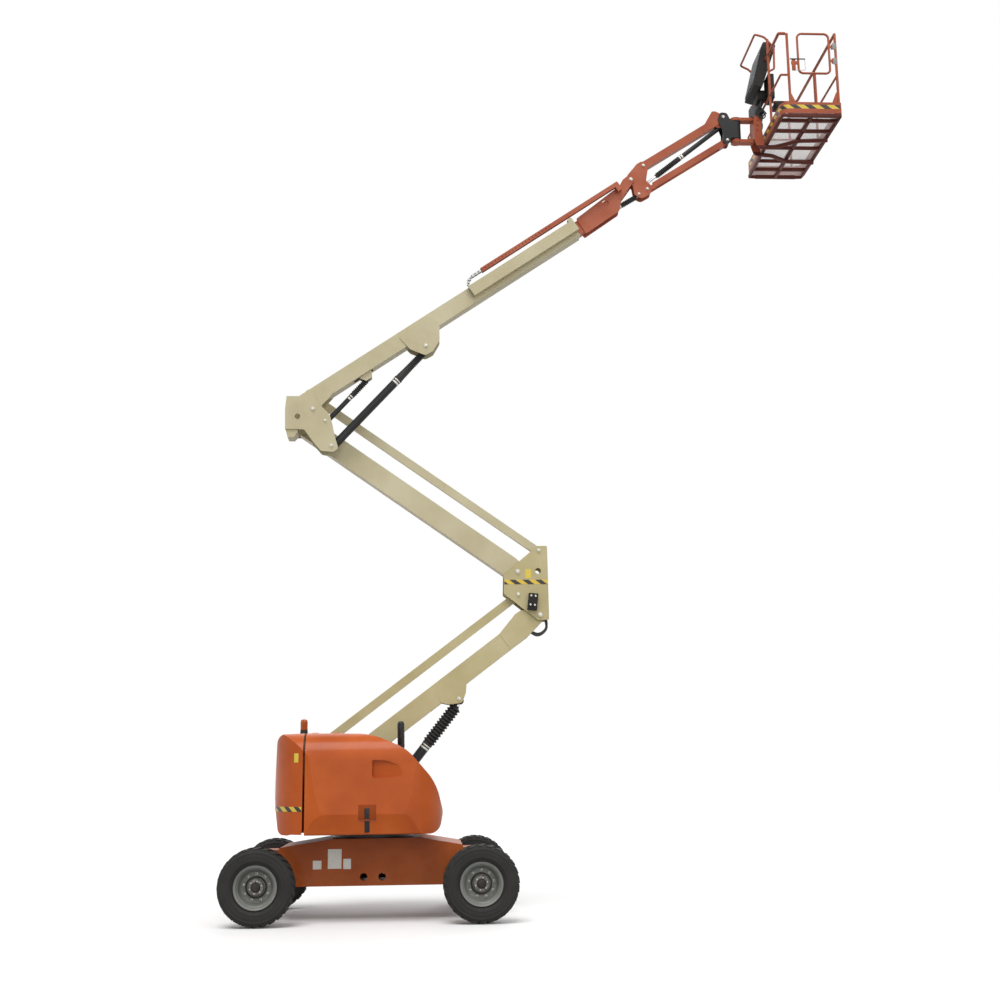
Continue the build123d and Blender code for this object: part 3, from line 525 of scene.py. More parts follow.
def makeRim():
    face = [
        (0.04, 0.052), (0.092, 0.052), (0.097, 0.046), (0.1, 0.03), (0.104, 0.012), (0.112, 0.006), (0.16, 0.004),
        (0.172, 0.01), (0.18, 0.024), (0.185, 0.034), (0.1885, 0.06), (0.19, 0.096), (0.193, 0.101), (0.2, 0.104),
        (0.204, 0.11), (0.206, 0.122), (0.21, 0.127), (0.216, 0.128), (0.222, 0.131), (0.229, 0.136), (0.234, 0.1375),
        (0.236, 0.134), (0.235, 0.128), (0.229, 0.118), (0.226, 0.1), (0.226, -0.1), (0.229, -0.118), (0.235, -0.128),
        (0.236, -0.134), (0.233, -0.137), (0.222, -0.131), (0.21, -0.126), (0.206, -0.11), (0.2, -0.09), (0.198, -0.02),
        (0.16, -0.016), (0.1, -0.02), (0.04, -0.02),
    ]
    dish = turned("rim", face + [face[0]], 72, "rimGrey", 35)
    nut = turned("nut", [(0.0155, 0.0), (0.0155, 0.003), (0.0125, 0.004), (0.0125, 0.017), (0.0095, 0.02)], 6, "zinc")
    stud = turned("stud", [(0.006, 0.0), (0.006, 0.03), (0.0045, 0.032)], 10, "blackMatte")
    nut = joined("nut", [nut, stud])
    placed(nut, (rimSize["nutCircle"], 0, 0.004))
    nuts = ringed(nut, "nuts", rimSize["nuts"], math.pi / 2)
    rows = [
        (0.117, 0.0), (0.117, 0.024), (0.113, 0.03), (0.1, 0.031), (0.096, 0.026), (0.094, 0.04), (0.088, 0.062),
        (0.078, 0.068), (0.05, 0.066), (0.045, 0.07), (0.044, 0.086), (0.038, 0.09), (0.02, 0.091),
    ]
    hub = turned("hub", rows, 48, "blackMatte")
    rows = [(0.05, 0.066), (0.087, 0.063), (0.086, 0.07), (0.08, 0.0735), (0.054, 0.0735), (0.05, 0.07), (0.05, 0.066)]
    plate = turned("hubPlate", rows, 40, "castHub")
    bolt = turned("bolt", [(0.008, 0.0), (0.008, 0.006), (0.0065, 0.0075)], 6, "zinc")
    placed(bolt, (rimSize["hubBoltCircle"], 0, 0.072))
    bolts = ringed(bolt, "hubBolts", rimSize["hubBolts"], 0.3)
    return joined("rim", [dish, nuts, hub, plate, bolts])


halfTrack = 0.985
wheelPlaces = (("steer_near", -1.22, -1), ("steer_far", -1.22, 1), ("drive_near", 1.22, -1), ("drive_far", 1.22, 1))


def makeWheels():
    tyre, rim = makeTyre(), makeRim()
    for name, x, side in wheelPlaces:
        place = (x, side * halfTrack, tyreSize["radius"])
        for made, part in ((tyre, "tyre"), (rim, "rim")):
            twin = placed(copyOf(made, part + "_" + name.replace("_", "")), place, (0, side, 0))
            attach(twin, "wheel_" + name)
            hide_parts(part + "_" + name)
    for made in (tyre, rim):
        bpy.data.objects.remove(made)
    print("wheels made")


# hydraulic cylinders: rod with its eye, a bellows, a gland and hose unions
# base and tip are (x, z); barrel end, bellows start and end are distances from the base
cylinderRows = {
    "tower_cylinder": {
        "base": (0.01, 1.15), "y": yTower, "rod": 0.034, "eye": (0.042, 0.026, 0.11), "barrel": (0.058, 1.03),
        "boot": (0.056, 0.078, 1.56), "pleat": 0.042, "port": 0.48,
    },
    "lift_cylinder": {
        "base": (-0.528, 5.536), "y": yMain, "rod": 0.03, "eye": (0.034, 0.024, 0.1), "barrel": (0.05, 1.21),
        "boot": (0.036, 0.048, 1.64), "pleat": 0.022,
    },
    "master_cylinder": {
        "base": (-0.609, 5.849), "y": yMain, "rod": 0.016, "eye": (0.026, 0.018, 0.05), "barrel": (0.03, 0.5),
        "boot": (0.026, 0.04, 0.735), "pleat": 0.026,
    },
    "slave_cylinder": {
        "base": (2.5707, 8.3942), "y": yMain, "rod": 0.016, "eye": (0.024, 0.016, 0.05), "barrel": (0.028, 0.69),
        "boot": (0.026, 0.036, 0.88), "pleat": 0.024,
    },
    "jib_cylinder": {
        "base": (4.4873, 9.8552), "y": yMain, "rod": 0.017, "eye": (0.026, 0.016, 0.056), "barrel": (0.03, 0.76),
        "boot": (0.026, 0.037, 1.114), "pleat": 0.024, "port": 0,
    },
}


def cylinderTip(name):
    # the rod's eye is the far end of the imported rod's box from the base
    low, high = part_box(name + "_rod")
    row = cylinderRows[name]
    x, z = row["base"]
    radius = row["eye"][0]
    corners = [(px, pz) for px in (low.x + radius, high.x - radius) for pz in (low.z + radius, high.z - radius)]
    far = max(corners, key=lambda p: math.hypot(p[0] - x, p[1] - z))
    return Vector((far[0], row["y"], far[1]))


def collar(name, inner, outer, low, high, lip=0.0):
    rows = [(inner, low), (outer, low + lip), (outer, high - lip), (inner, high), (inner, low)]
    return turned(name, rows, 36, "zinc")


def makeCylinder(name):
    row = cylinderRows[name]
    base = Vector((row["base"][0], row["y"], row["base"][1]))
    tip = cylinderTip(name)
    way = (tip - base).normalized()
    length = (tip - base).length
    outer, bore, width = row["eye"]
    barrelRadius, barrelEnd = row["barrel"]
    inner, crest, bootEnd = row["boot"]
    rodRadius = row["rod"]

    rows = [(rodRadius, barrelEnd - 0.03), (rodRadius, length - outer - 0.012)]
    rows += [(rodRadius * 0.86, length - outer - 0.004), (rodRadius * 0.86, length - outer * 0.6)]
    shaft = placed(turned(name + "Rod", rows, 28, "chrome"), base, way)
    half = width / 2
    rows = [
        (bore, -half), (outer - 0.002, -half), (outer, -half + 0.002), (outer, half - 0.002), (outer - 0.002, half),
        (bore, half), (bore, -half),
    ]
    eye = placed(turned(name + "Eye", rows, 36, "black"), tip, (0, 1, 0))
    rod = joined(name + "Shaft", [shaft, eye])
    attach(rod, name + "_rod")
    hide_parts(name + "_rod")

    pleats = max(4, round((bootEnd - barrelEnd) / row["pleat"]))
    pitch = (bootEnd - barrelEnd) / pleats
    rows = [(barrelRadius + 0.003, barrelEnd - 0.03), (barrelRadius + 0.006, barrelEnd - 0.012), (inner, barrelEnd)]
    for fold in range(pleats):
        start = barrelEnd + fold * pitch
        rows += [
            (crest * 0.93, start + pitch * 0.32), (crest, start + pitch * 0.46), (crest * 0.985, start + pitch * 0.6),
            (inner, start + pitch),
        ]
    rows += [(rodRadius + lip, bootEnd + up) for lip, up in ((0.006, 0.006), (0.006, 0.022), (0.0005, 0.024))]
    rows += [(rodRadius + 0.001, bootEnd - 0.004)]
    rows += [(barrelRadius + 0.0006, barrelEnd - down) for down in (0.004, 0.03)]
    bellows = placed(turned(name + "Boot", rows + [rows[0]], 36, "boot", 25), base, way)
    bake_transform(bellows)

    parts = [
        collar(name + "Clamp", barrelRadius + 0.0005, barrelRadius + 0.004, barrelEnd - 0.05, barrelEnd - 0.034),
        collar(name + "Gland", barrelRadius - 0.001, barrelRadius + 0.003, barrelEnd - 0.09, barrelEnd - 0.064, 0.002),
    ]
    port = row.get("port", 0.115)
    if port:
        screw = turned("screw", [(0.005, 0), (0.005, 0.02), (0.0035, 0.021)], 8, "zinc")
        placed(screw, (barrelRadius + 0.004, -0.01, barrelEnd - 0.042), (0, 1, 0))
        rows = [(0.013, 0), (0.013, 0.014), (0.016, 0.016), (0.016, 0.028), (0.01, 0.031), (0.009, 0.044)]
        union = placed(turned("union", rows, 12, "zinc"), (barrelRadius * 0.94, 0, port), (1, 0, 0))
        low, high = (barrelRadius * 0.7, -0.018, port - 0.025), (barrelRadius + 0.012, 0.018, port + 0.025)
        parts += [screw, union, slab("port", low, high, 0.003, "black")]
    fit = placed(joined(name + "Fittings", parts), base, way)
    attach(fit, name + "_barrel")


def makeCylinders():
    for name in cylinderRows:
        makeCylinder(name)
    print("cylinders made")


# pins: a round head on a thin washer at the outer ends of each axle
# rows are body, near y, far y, and its pins as (x, z, pin radius)
pinRows = (
    ("upright", -0.166, None, ((-0.758, 5.997, 0.03), (-0.609, 5.849, 0.022), (-0.528, 5.536, 0.028))),
    ("upright", None, 0.347, ((-0.945, 5.9, 0.036), (-0.684, 6.163, 0.028))),
    ("knuckle", 0.077, 0.343, (
        (2.012, 3.479, 0.034), (1.746, 3.729, 0.028), (1.741, 4.01, 0.034), (2.002, 4.273, 0.028),
    )),
    ("main_boom", -0.136, 0.076, ((0.6257, 6.8193, 0.03),)),
    ("lower_boom", 0.102, 0.318, ((1.0144, 2.4745, 0.03),)),
    ("fly_boom", -0.122, 0.062, ((3.264, 9.07, 0.03),)),
    ("jib_knuckle", -0.102, 0.042, ((3.435, 9.273, 0.026), (3.477, 8.952, 0.024))),
    ("jib_knuckle", -0.098, 0.038, ((3.368, 8.881, 0.022),)),
    ("jib_head", -0.104, 0.044, ((4.51, 9.965, 0.026), (4.552, 9.644, 0.024))),
)


def makePins():
    pins = [(body, near, far, *pin) for body, near, far, group in pinRows for pin in group]
    for index, (body, near, far, x, z, pinRadius) in enumerate(pins):
        radius = pinRadius * 0.6
        parts = []
        for y, side in ((near, -1), (far, 1)):
            if y is None:
                continue
            rows = [(1.35, 0), (1.35, 0.0035), (1.3, 0.005), (1, 0.005), (1, 0.013), (0.86, 0.018), (0.3, 0.0195)]
            head = turned("head", [(radius * share, height) for share, height in rows], 28, "zinc")
            parts.append(placed(head, (x, y - side * 0.004, z), (0, side, 0)))
        piece = joined("pinHeads%02d" % index, parts)
        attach(piece, body)
    print("pin heads made")


# labels and stripes: thin plates just proud of the sheet behind them
# rows are name, body, material, low corner, high corner
platesFlat = (
    ("hazardKnuckle", "knuckle", "hazardWide", (1.577, 0.0815, 3.85), (2.112, 0.0835, 3.907)),
    ("labelKnuckle", "knuckle", "yellowLabel", (1.835, 0.0815, 3.925), (1.905, 0.0835, 4.035)),
    ("plateData", "chassis", "whiteLabel", (-0.485, -0.5225, 0.565), (-0.332, -0.5195, 0.78)),
    ("plateSide", "chassis", "whiteLabel", (-0.312, -0.5225, 0.56), (-0.226, -0.5195, 0.672)),
    ("plateEnd", "chassis", "whiteLabel", (-0.652, -0.5225, 0.562), (-0.556, -0.5195, 0.656)),
)


def makePlates():
    for name, body, material, low, high in platesFlat:
        piece = slab(name, low, high, 0.0006, material, 1)
        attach(piece, body)
    print("plates made")


# power track: a row of hinged links in the tray, carried over by the bend
trackSize = {
    "pitch": 0.052, "wide": 0.046, "y": -0.157, "bend": (2.555, 0.2515), "bendRadius": 0.079, "bendLinks": 5,
    "low": (2.62, 0.158, 0.036), "lowLinks": 18, "top": (2.6, 0.3115, 0.034), "topLinks": 24,
}


def linkAt(along, up, height, turn=0.0):
    pitch, wide = trackSize["pitch"], trackSize["wide"]
    parts = []
    for side in (-1, 1):
        y = side * wide / 2
        low, high = (-pitch * 0.52, y - 0.003, 0), (pitch * 0.44, y + 0.003, height)
        parts.append(slab("cheek", low, high, 0.0025, "silver", 1))
        knob = turned("knob", [(0.007, 0), (0.007, 0.003), (0.005, 0.0045)], 10, "blackMatte")
        parts.append(placed(knob, (-pitch * 0.3, y + side * 0.003, height / 2), (0, side, 0)))
    for level in (0.003, height - 0.003):
        low, high = (-0.008, -wide / 2, level - 0.002), (0.008, wide / 2, level + 0.002)
        parts.append(slab("stay", low, high, 0.001, "blackMatte", 1))
    link = joined("link", parts)
    link.data.transform(Matrix.Rotation(-turn, 4, "Y"))
    link.data.transform(Matrix.Translation((along, 0, up)))
    return tilted(link, mainPlane, trackSize["y"])


def copiesAlong(link, name, steps, way):
    parts = [link]
    for step in range(1, steps):
        twin = copyOf(link, name)
        twin.data.transform(Matrix.Translation(way * step))
        parts.append(twin)
    return joined(name, parts)


def makeTrack():
    angle = math.radians(mainPlane[1])
    way = Vector((math.cos(angle), 0, math.sin(angle))) * trackSize["pitch"]
    lowRun = copiesAlong(linkAt(*trackSize["low"]), "trackLow", trackSize["lowLinks"], way)
    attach(lowRun, "main_boom")
    along, up = trackSize["bend"]
    bend, reach, count = [], trackSize["bendRadius"], trackSize["bendLinks"]
    for step in range(count):
        turn = math.pi / 2 + math.pi * (step + 0.5) / count
        bend.append(linkAt(along + reach * math.cos(turn), up + reach * math.sin(turn), 0.034, turn + math.pi / 2))
    bend.append(copiesAlong(linkAt(*trackSize["top"]), "top", trackSize["topLinks"], way))
    bend = joined("trackTop", bend)
    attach(bend, "track_bend")
    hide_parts("track_bend")
    print("power track made")


beaconSize = {"place": (-0.79, -0.33), "lens": 2.112, "ribs": 7, "ribPitch": 0.0135, "steps": 36}


def makeBeacon():
    lensLow, pitch, steps = beaconSize["lens"], beaconSize["ribPitch"], beaconSize["steps"]
    rows = [(0.0405, lensLow)]
    for rib in range(beaconSize["ribs"]):
        low = lensLow + 0.006 + pitch * rib
        rows += [(0.0415, low), (0.0425, low + 0.004), (0.0425, low + 0.0075), (0.0385, low + 0.0105)]
    rows += [(0.039, 2.214), (0.034, 2.226), (0.02, 2.233), (0.004, 2.235)]
    lens = turned("beaconLens", rows, steps, "amber")
    rows = [(0.044, 2.05), (0.044, 2.09), (0.042, 2.1), (0.042, lensLow), (0.02, lensLow + 0.002)]
    foot = turned("beaconFoot", rows, steps, "blackMatte")
    for piece in (lens, foot):
        placed(piece, (*beaconSize["place"], 0))
        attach(piece, "turntable")
    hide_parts("beacon")
    print("beacon made")


exhaustSize = {
    "place": (0.352, -0.256, 0), "lean": (-0.012, 0, 1), "steps": 40, "radius": 0.041, "bands": (1.92, 2.02, 2.12),
    "rows": [
        (0.03, 0.98), (0.038, 1.0), (0.038, 1.9), (0.041, 1.905), (0.041, 2.15), (0.0405, 2.168), (0.036, 2.186),
        (0.024, 2.199), (0.006, 2.204),
    ],
}


def makeExhaust():
    # a straight stack with a domed end and three clamp bands
    steps, radius = exhaustSize["steps"], exhaustSize["radius"]
    parts = [turned("exhaustStack", exhaustSize["rows"], steps, "black")]
    for low in exhaustSize["bands"]:
        rows = [(radius, low), (radius + 0.0018, low + 0.002), (radius + 0.0018, low + 0.01), (radius, low + 0.012)]
        rows += [(radius - 0.001, low + 0.006), (radius, low)]
        parts.append(turned("band", rows, steps, "black"))
    stack = placed(joined("exhaustStack", parts), exhaustSize["place"], exhaustSize["lean"])
    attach(stack, "turntable")
    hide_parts("exhaust_pipe")
    print("exhaust made")


railSize = {
    "x": (5.067, 5.783), "y": (-0.923, 0.863), "top": 10.69, "middle": 10.125, "radius": 0.019, "bend": 0.14,
    "foot": 9.601, "hoop": (-0.39, 0.46), "hoopFoot": 10.915,
}


def makeRails():
    (xa, xb), (ya, yb) = railSize["x"], railSize["y"]
    top, middle, radius = railSize["top"], railSize["middle"], railSize["radius"]
    (near, far), hoopFoot = railSize["hoop"], railSize["hoopFoot"]
    foot, bend = railSize["foot"], railSize["bend"]
    ring = [(5.15, ya), (xa, ya), (xa, yb), (xb, yb), (xb, ya)]
    guard = [
        (xa, near, 10.46), (5.14, near, 10.5), (5.15, near, 10.8), (5.03, near + 0.005, 10.95),
        (4.915, near + 0.03, 11.0), (4.915, far - 0.01, 11.0), (5.03, far, 10.95), (5.15, far, 10.8),
        (5.14, far, 10.5), (xa, far, 10.46),
    ]
    orange = "fadedOrange"
    parts = [
        bentTube("topRail", [(x, y, top) for x, y in ring], radius, bend, orange),
        bentTube("midRail", [(x, y, middle) for x, y in ring], 0.014, bend, orange),
        bentTube("stub", [(5.5, ya, foot), (5.5, ya, middle + 0.004)], 0.0155, 0.02, orange),
        bentTube("guard", guard, 0.014, 0.06, orange),
    ]
    posts = (
        (5.17, ya, top), (xb, ya, top), (xa, near, hoopFoot), (xa, far, hoopFoot), (xb, 0.0, top), (xa + 0.12, yb, top),
        (xb - 0.12, yb, top),
    )
    for x, y, height in posts:
        parts.append(bentTube("post", [(x, y, foot), (x, y, height)], radius - 0.002, 0.02, orange))
    board = [(5.802, -0.942), (5.147, -0.942)]
    for cx, cy, start in ((5.147, -0.843, 270), (5.147, 0.783, 180), (5.703, 0.783, 90)):
        for step in range(0, 91, 9):
            turn = math.radians(start - step)
            board.append((cx + 0.099 * math.cos(turn), cy + 0.099 * math.sin(turn)))
    parts.append(ribbon("toeBoard", [(x, y, 9.6755) for x, y in board], 0.0715, orange, 0.006, True))
    for x, run in ((5.16, 0.085), (5.77, -0.075)):
        rows = [(x, 9.745), (x + run, 9.745), (x + run * 0.22, 9.892), (x, 9.895)]
        gusset = outline("gusset", rows, 0.008, 0.001, orange)
        gusset.data.transform(Matrix.Translation((0, ya - 0.006, 0)))
        parts.append(gusset)
    for low, high in ((10.474, 10.564), (10.27, 10.36)):
        parts.append(slab("hingePlate", (5.742, ya - 0.018, low), (5.786, ya - 0.01, high), 0.002, "grey"))
    rails = joined("platformRails", parts)
    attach(rails, "platform")
    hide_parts("platform_rails")
    wire = [(5.38, ya - 0.014, 10.335), (5.38, ya - 0.014, 10.185), (5.25, ya - 0.014, 10.185)]
    latch = [
        slab("latch", (5.212, ya - 0.012, 10.18), (5.262, ya - 0.006, 10.345), 0.002, orange),
        slab("bar", (5.19, ya - 0.018, 10.328), (5.385, ya - 0.01, 10.344), 0.003, "black"),
        bentTube("wire", wire, 0.004, 0.02, "silver"),
    ]
    latch = joined("gateLatch", latch)
    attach(latch, "platform_gate")
    print("rails made")


deckBox = {
    "x": (5.045, 5.805), "y": (-0.945, 0.885), "low": 9.553, "top": 9.6, "wide": 0.034, "corner": 0.1,
    "crossBars": (-0.796, -0.511, -0.03, 0.363, 0.62), "meshCells": (28, 68), "wire": 0.0075, "tape": (9.687, 0.026),
}


def makePlatform():
    (x0, x1), (y0, y1) = deckBox["x"], deckBox["y"]
    low, top, wide, corner = (deckBox[k] for k in ("low", "top", "wide", "corner"))
    sides = (
        ((x0, y0 + corner), (x0 + wide, y1 - corner)), ((x1 - wide, y0 + 0.004), (x1, y1 - corner)),
        ((x0 + corner, y0), (x1 - 0.002, y0 + wide)), ((x0 + corner, y1 - wide), (x1 - corner, y1)),
    )
    # the frame's rim, corner tubes and bars wear the dark brown of painted shade
    parts = [slab("rim", (*near, low), (*far, top), 0.003, "frameShadeBrown") for near, far in sides]
    middle = wide / 2  # the corner tubes run along the middle of the rim
    for cx, cy, sx, sy in ((x0, y0, 1, 1), (x0, y1, 1, -1), (x1, y1, -1, -1)):
        for height in (low + middle, top - middle):
            steps = ((corner, middle), (0.03, middle), (middle, 0.03), (middle, corner))
            bend = [(cx + sx * a, cy + sy * b, height) for a, b in steps]
            parts.append(meshed(tube("corner", bend, 0.0165, "frameShadeBrown")))
    bars = [((x0 + 0.03, y - 0.018), (x1 - 0.03, y + 0.018)) for y in deckBox["crossBars"]]
    bars.append(((5.405, y0 + 0.03), (5.445, y1 - 0.03)))
    parts += [slab("bar", (*near, low), (*far, top - 0.006), 0.003, "frameShadeBrown") for near, far in bars]
    fresh()
    cellsX, cellsY = deckBox["meshCells"]
    centre = ((x0 + x1) / 2, (y0 + y1) / 2, top - 0.001)
    bpy.ops.mesh.primitive_grid_add(x_subdivisions=cellsX, y_subdivisions=cellsY, size=1, location=centre)
    sheet = bpy.context.object
    sheet.scale = (x1 - x0 - 0.05, y1 - y0 - 0.05, 1)
    bpy.ops.object.transform_apply(location=True, scale=True)
    wires = sheet.modifiers.new("wires", "WIREFRAME")
    wires.thickness, wires.use_replace, wires.use_even_offset = deckBox["wire"], True, False
    only(sheet)
    bpy.ops.object.modifier_apply(modifier="wires")
    sheet.data.materials.append(finish["mesh"])
    deck = joined("platformDeck", parts + [sheet])
    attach(deck, "platform")
    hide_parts("platform_floor")

    # the tape runs from the left side round the near corner and along the near side
    height, half = deckBox["tape"]
    line = [(x0 + 0.0005, y1 - 0.12, height)]
    for degrees in range(180, 271, 9):
        turn = math.radians(degrees)
        line.append((x0 + corner + 0.0995 * math.cos(turn), y0 + corner + 0.0995 * math.sin(turn), height))
    line.append((x1 - 0.012, y0 + 0.0005, height))
    tape = ribbon("toeTape", line, half, "hazardTape")
    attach(tape, "platform")
    print("platform made")


consoleSize = {
    "back": ((4.883, 10.345), (5.034, 10.938)),  # the low and high ends of the leaning back, as (x, z)
    "top": ((5.052, 10.949), -16.1),
    "switches": (-0.24, -0.19, -0.14, -0.09, -0.02, 0.05, 0.11, 0.17), "switchRows": (0.04, 0.1),
    "boxes": (  # name, low corner, high corner, bevel, material
        ("lower", (5.085, -0.27, 10.16), (5.165, -0.05, 10.5), 0.006, "blackMatte"),
        ("boxBelow", (5.165, -0.26, 10.05), (5.29, -0.08, 10.12), 0.006, "blackMatte"),
        ("plug", (4.965, -0.16, 10.19), (5.075, 0.08, 10.32), 0.005, "blackMatte"),
        ("junction", (4.885, -0.1, 9.972), (4.968, 0.04, 10.132), 0.006, "screen"),
    ),
    "leads": (-0.13, -0.1, -0.07, -0.04, -0.01, 0.02), "leadRadius": 0.0125,
    "coils": 3, "coilRadius": 0.05, "coilHose": 0.008,
}


def makeConsole():
    # a leaning panel with its grey back and two rows of switches, and below it the boxes, leads and small coils
    low, high = consoleSize["back"]
    way = Vector((high[0] - low[0], 0, high[1] - low[1]))
    back = (low, math.degrees(math.atan2(way.z, way.x)))
    panel = slab("back", (0.03, -0.272, 0.0), (way.length - 0.05, 0.212, 0.004), 0.0015, "screen")
    parts = [tilted(panel, back, 0)]
    outward = at(back, 0, 1, 0) - at(back, 0, 0, 0)
    for along in (0.12, way.length - 0.16):
        for y in (-0.24, 0.18):
            screw = turned("screw", [(0.008, 0), (0.008, 0.003), (0.005, 0.005)], 10, "zinc")
            parts.append(placed(screw, at(back, along, 0.004, y), outward))
    top = consoleSize["top"]
    outward = at(top, 0, 1, 0) - at(top, 0, 0, 0)
    for step, y in enumerate(consoleSize["switches"]):
        for along in consoleSize["switchRows"]:
            tall = 0.018 if (step + int(along * 100)) % 3 else 0.03
            rows = [(0.013, 0), (0.013, 0.004), (0.008, 0.005), (0.0065, tall), (0.004, tall + 0.002)]
            knob = turned("knob", rows, 12, "blackMatte" if step % 3 else "coverOrange")
            parts.append(placed(knob, at(top, along, 0, y), outward))
    parts += [slab(*row) for row in consoleSize["boxes"]]
    for index, y in enumerate(consoleSize["leads"]):
        sway = 0.012 * (index % 3)
        run = [
            (5.02 + sway, y, 10.21), (5.0 - sway, y, 10.12), (5.03 + sway, y * 0.8, 10.02),
            (5.0 + sway, y * 0.7, 9.93), (5.035 - sway, y * 0.7, 9.84), (4.985, y * 0.6 - 0.01, 9.72),
        ]
        parts.append(meshed(tube("lead", run, consoleSize["leadRadius"], "hose", resolution=6)))
    radius = consoleSize["coilRadius"]
    for turn in range(consoleSize["coils"]):
        x, y, z = 4.99 + 0.01 * turn, -0.15 - 0.018 * turn, 10.03 - 0.03 * turn
        coil = []
        for degrees in range(0, 400, 36):
            angle = math.radians(degrees)
            coil.append((x + radius * math.cos(angle), y + degrees / 9000, z + radius * math.sin(angle)))
        parts.append(meshed(tube("coil", coil, consoleSize["coilHose"], "hose", resolution=6)))
    console = joined("consoleFittings", parts)
    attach(console, "platform")
    print("console made")


# rows are name, low corner, high corner, bevel, material
latchSize = {
    "waist": 1.17, "lean": 11.56,  # the cover's side leans in below this height
    "upper": (
        # the latch recess is a flat plate in the darker orange, painted shade
        ("recessShade", (-0.125, -1.0035, 1.118), (0.068, -0.982, 1.275), 0.001, "recessShade"),
        ("handle", (-0.058, -1.014, 1.126), (-0.006, -1.0, 1.238), 0.005, "black"),
    ),
    "lower": (
        ("trim", (-0.135, -1.0055, 1.1), (0.078, -0.994, 1.11), 0.002, "fadedOrange"),
        ("strip", (-0.057, -1.0055, 0.972), (-0.002, -0.994, 1.102), 0.002, "blackMatte"),
        ("tab", (-0.06, -1.0065, 0.958), (0.01, -0.985, 0.97), 0.002, "castOrange"),
    ),
}

# strips bent to the counterweight's rounded rear corners
# rows are name, side, material, radius, x from, x to, middle z, half height, thickness
tailSize = {
    "centre": (-0.497, 0.4), "steps": 14,
    "strips": (
        ("counterweightStripe", -1, "hazardX", 0.6015, -0.753, -1.088, 1.233, 0.0265, 0.0016),
        ("counterweightLabel", -1, "yellowLabel", 0.6015, -0.795, -0.845, 1.79, 0.05, 0.0012),
        ("counterweightSkirtNear", -1, "castOrange", 0.5965, -0.75, -0.91, 0.981, 0.022, 0.006),
        ("counterweightSkirtFar", 1, "castOrange", 0.5965, -0.75, -0.91, 0.981, 0.022, 0.006),
    ),
}


def makeCoverFittings():
    waist = Vector((0, -1.0, latchSize["waist"]))
    lean = Matrix.Rotation(math.radians(latchSize["lean"]), 4, "X")
    upper = [slab(*row) for row in latchSize["upper"]]
    lower = [slab(*row) for row in latchSize["lower"]]
    for part in lower:
        part.data.transform(Matrix.Translation(waist) @ lean @ Matrix.Translation(-waist))
    latch = joined("coverLatch", upper + lower)
    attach(latch, "hood_near")

    centreX, centreY = tailSize["centre"]
    steps = tailSize["steps"]
    for name, side, material, radius, near, far, height, half, thick in tailSize["strips"]:
        first, last = (math.asin(min(1, (centreX - x) / radius)) for x in (near, far))
        line = []
        for step in range(steps + 1):
            turn = first + (last - first) * step / steps
            line.append((centreX - radius * math.sin(turn), side * (centreY + radius * math.cos(turn)), height))
        strip = ribbon(name, line, half - thick / 2, material, thick)
        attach(strip, "turntable")
    print("cover fittings made")


valveSize = {
    "low": (1.862, 0.022, 3.53), "high": (1.978, 0.082, 3.735), "lean": 6, "middle": (1.92, 0, 3.63),
    "unionsX": (1.892, 1.945), "unionsZ": (3.59, 3.7),
    "union": [(0.011, 0), (0.011, 0.008), (0.014, 0.009), (0.014, 0.02), (0.009, 0.024)],
    "hoses": (0.13, 0.157, 0.184, 0.236, 0.263, 0.29), "hoseRadius": 0.0105,
}


def makeFittings():
    # the tower knuckle's valve block with its unions, and the hoses that pass round the boom's end behind the plate
    parts = [slab("valve", valveSize["low"], valveSize["high"], 0.005, "blackMatte")]
    for x in valveSize["unionsX"]:
        for z in valveSize["unionsZ"]:
            parts.append(placed(turned("union", valveSize["union"], 6, "zinc"), (x, 0.024, z), (0, -1, 0)))
    middle = Matrix.Translation(valveSize["middle"])
    valve = joined("knuckleValve", parts)
    valve.data.transform(middle @ Matrix.Rotation(math.radians(valveSize["lean"]), 4, "Y") @ middle.inverted())
    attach(valve, "knuckle")
    hoses = []
    for index, y in enumerate(valveSize["hoses"]):
        slack = 0.008 * (index % 3)
        loop = [
            (2.075, y, 3.47), (2.096, y, 3.4), (2.092 + slack / 2, y, 3.32 - slack), (2.02, y, 3.255 - slack),
            (1.95, y, 3.25 - slack / 2), (1.9, y, 3.285),
        ]
        hoses.append(meshed(tube("hose", loop, valveSize["hoseRadius"], "hose", resolution=8)))
    hoses = joined("knuckleHoses", hoses)
    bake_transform(hoses)
    print("valve block and hoses made")


makeWheels()
makeCylinders()
makePins()
makePlates()
makeTrack()
makeBeacon()
makeExhaust()
makePlatform()
makeRails()
makeConsole()
makeCoverFittings()
makeFittings()


# stage: camera, lamps, white surroundings and a pale floor that keeps the shadow
def brightRays(tree):
    # 1 for the rays that should meet white: from the camera, and from metal and glass
    seen = tree.nodes.new("ShaderNodeLightPath")
    result = seen.outputs["Is Camera Ray"]
    for ray in ("Is Glossy Ray", "Is Transmission Ray"):
        larger = tree.nodes.new("ShaderNodeMath")
        larger.operation = "MAXIMUM"
        tree.links.new(result, larger.inputs[0])
        tree.links.new(seen.outputs[ray], larger.inputs[1])
        result = larger.outputs[0]
    return result


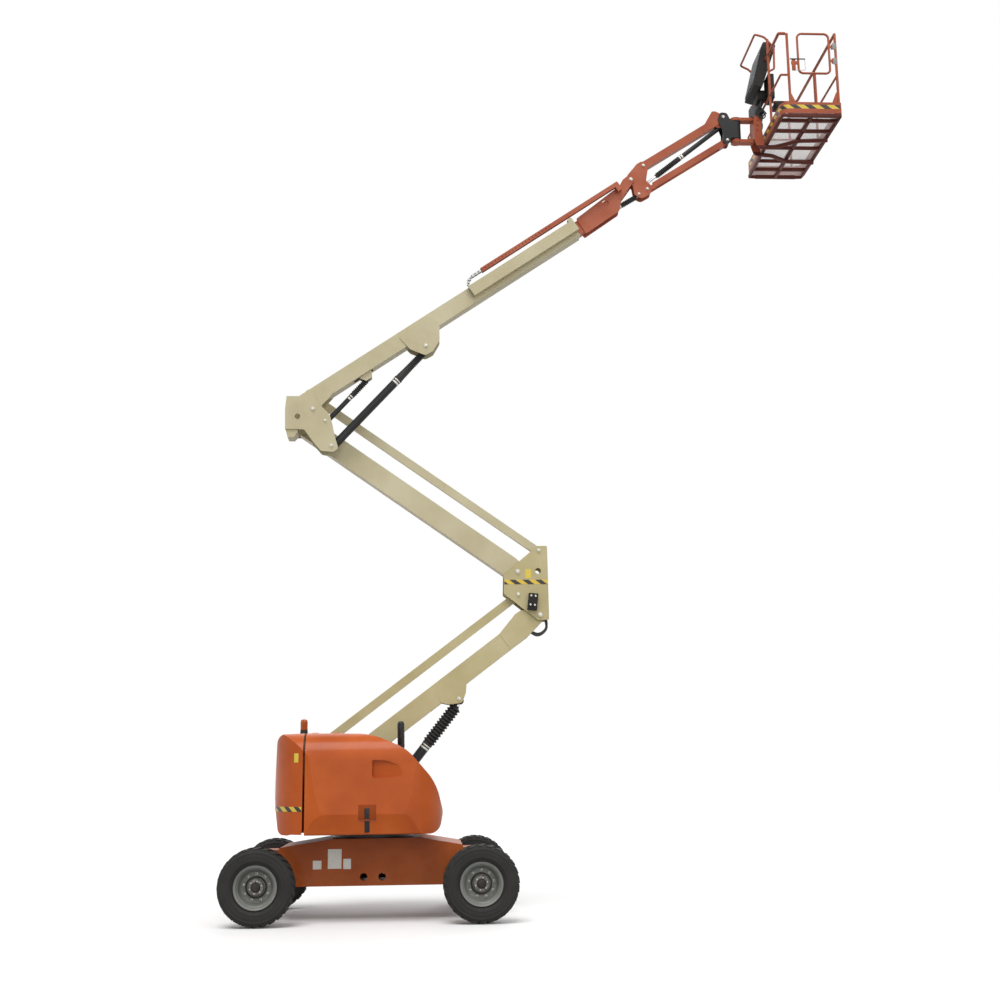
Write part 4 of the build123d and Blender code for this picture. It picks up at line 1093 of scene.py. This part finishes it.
def makeStage():
    shot = {"place": (0.61119, -16.28728, 1.67642), "yaw": -3.2364, "pitch": 11.1247, "roll": -0.7141, "focal": 1351.8}
    yaw, pitch, roll = (math.radians(shot[k]) for k in ("yaw", "pitch", "roll"))
    forward = Vector((-math.sin(yaw) * math.cos(pitch), math.cos(yaw) * math.cos(pitch), math.sin(pitch)))
    right = Vector((math.cos(yaw), math.sin(yaw), 0))
    up = right.cross(forward)
    right, up = right * math.cos(roll) + up * math.sin(roll), up * math.cos(roll) - right * math.sin(roll)
    data = bpy.data.cameras.new("camera")
    data.sensor_width = 36
    data.lens = 36 * shot["focal"] / 1000
    camera = bpy.data.objects.new("camera", data)
    camera.matrix_world = Matrix.Translation(shot["place"]) @ Matrix((right, up, -forward)).transposed().to_4x4()
    bpy.context.scene.collection.objects.link(camera)
    bpy.context.scene.camera = camera

    lamps = (  # name, direction it comes from, strength, softness
        ("keyLamp", (-0.15, -0.45, 1.0), 1.7, 0.6),
        ("fillLamp", (0.35, -1.0, 0.35), 0.9, 1.2),
        ("backLamp", (0.2, 0.9, 0.7), 0.5, 0.8),
    )
    for name, direction, strength, softness in lamps:
        lamp = bpy.data.lights.new(name, "SUN")
        lamp.energy, lamp.angle = strength, softness
        holder = bpy.data.objects.new(name, lamp)
        holder.rotation_mode = "QUATERNION"
        holder.rotation_quaternion = Vector(direction).to_track_quat("Z", "Y")
        bpy.context.scene.collection.objects.link(holder)

    world = bpy.data.worlds.new("white")
    bpy.context.scene.world = world
    world.use_nodes = True
    tree = world.node_tree
    back = tree.nodes["Background"]
    scale = tree.nodes.new("ShaderNodeMath")
    scale.operation = "MULTIPLY_ADD"
    tree.links.new(brightRays(tree), scale.inputs[0])
    scale.inputs[1].default_value, scale.inputs[2].default_value = 0.5, 0.5
    tree.links.new(scale.outputs[0], back.inputs["Strength"])
    back.inputs["Color"].default_value = (1, 1, 1, 1)

    fresh()
    bpy.ops.mesh.primitive_circle_add(vertices=96, radius=60, fill_type="NGON", location=(0, 0, -0.001))
    floor = bpy.context.object
    floor.name = "floor"
    shade = Shader("floorWhite", Roughness=0.9)
    seenBy = Value(shade, brightRays(shade.tree))
    plain = shade.ramp(shade.noise(0.4, 2), (0.3, (0.29, 0.29, 0.29, 1)), (0.7, (0.31, 0.31, 0.31, 1)))
    shade.feed("Base Color", shade.mix(seenBy, plain, (0.93, 0.93, 0.93, 1)))
    shade.feed("Emission Color", shade.mix(seenBy, (0, 0, 0, 1), (0.02, 0.02, 0.02, 1)))
    shade.surface.inputs["Emission Strength"].default_value = 1
    floor.data.materials.append(shade.material)
    bpy.context.scene.view_settings.view_transform = "Standard"
    print("stage set")


makeStage()
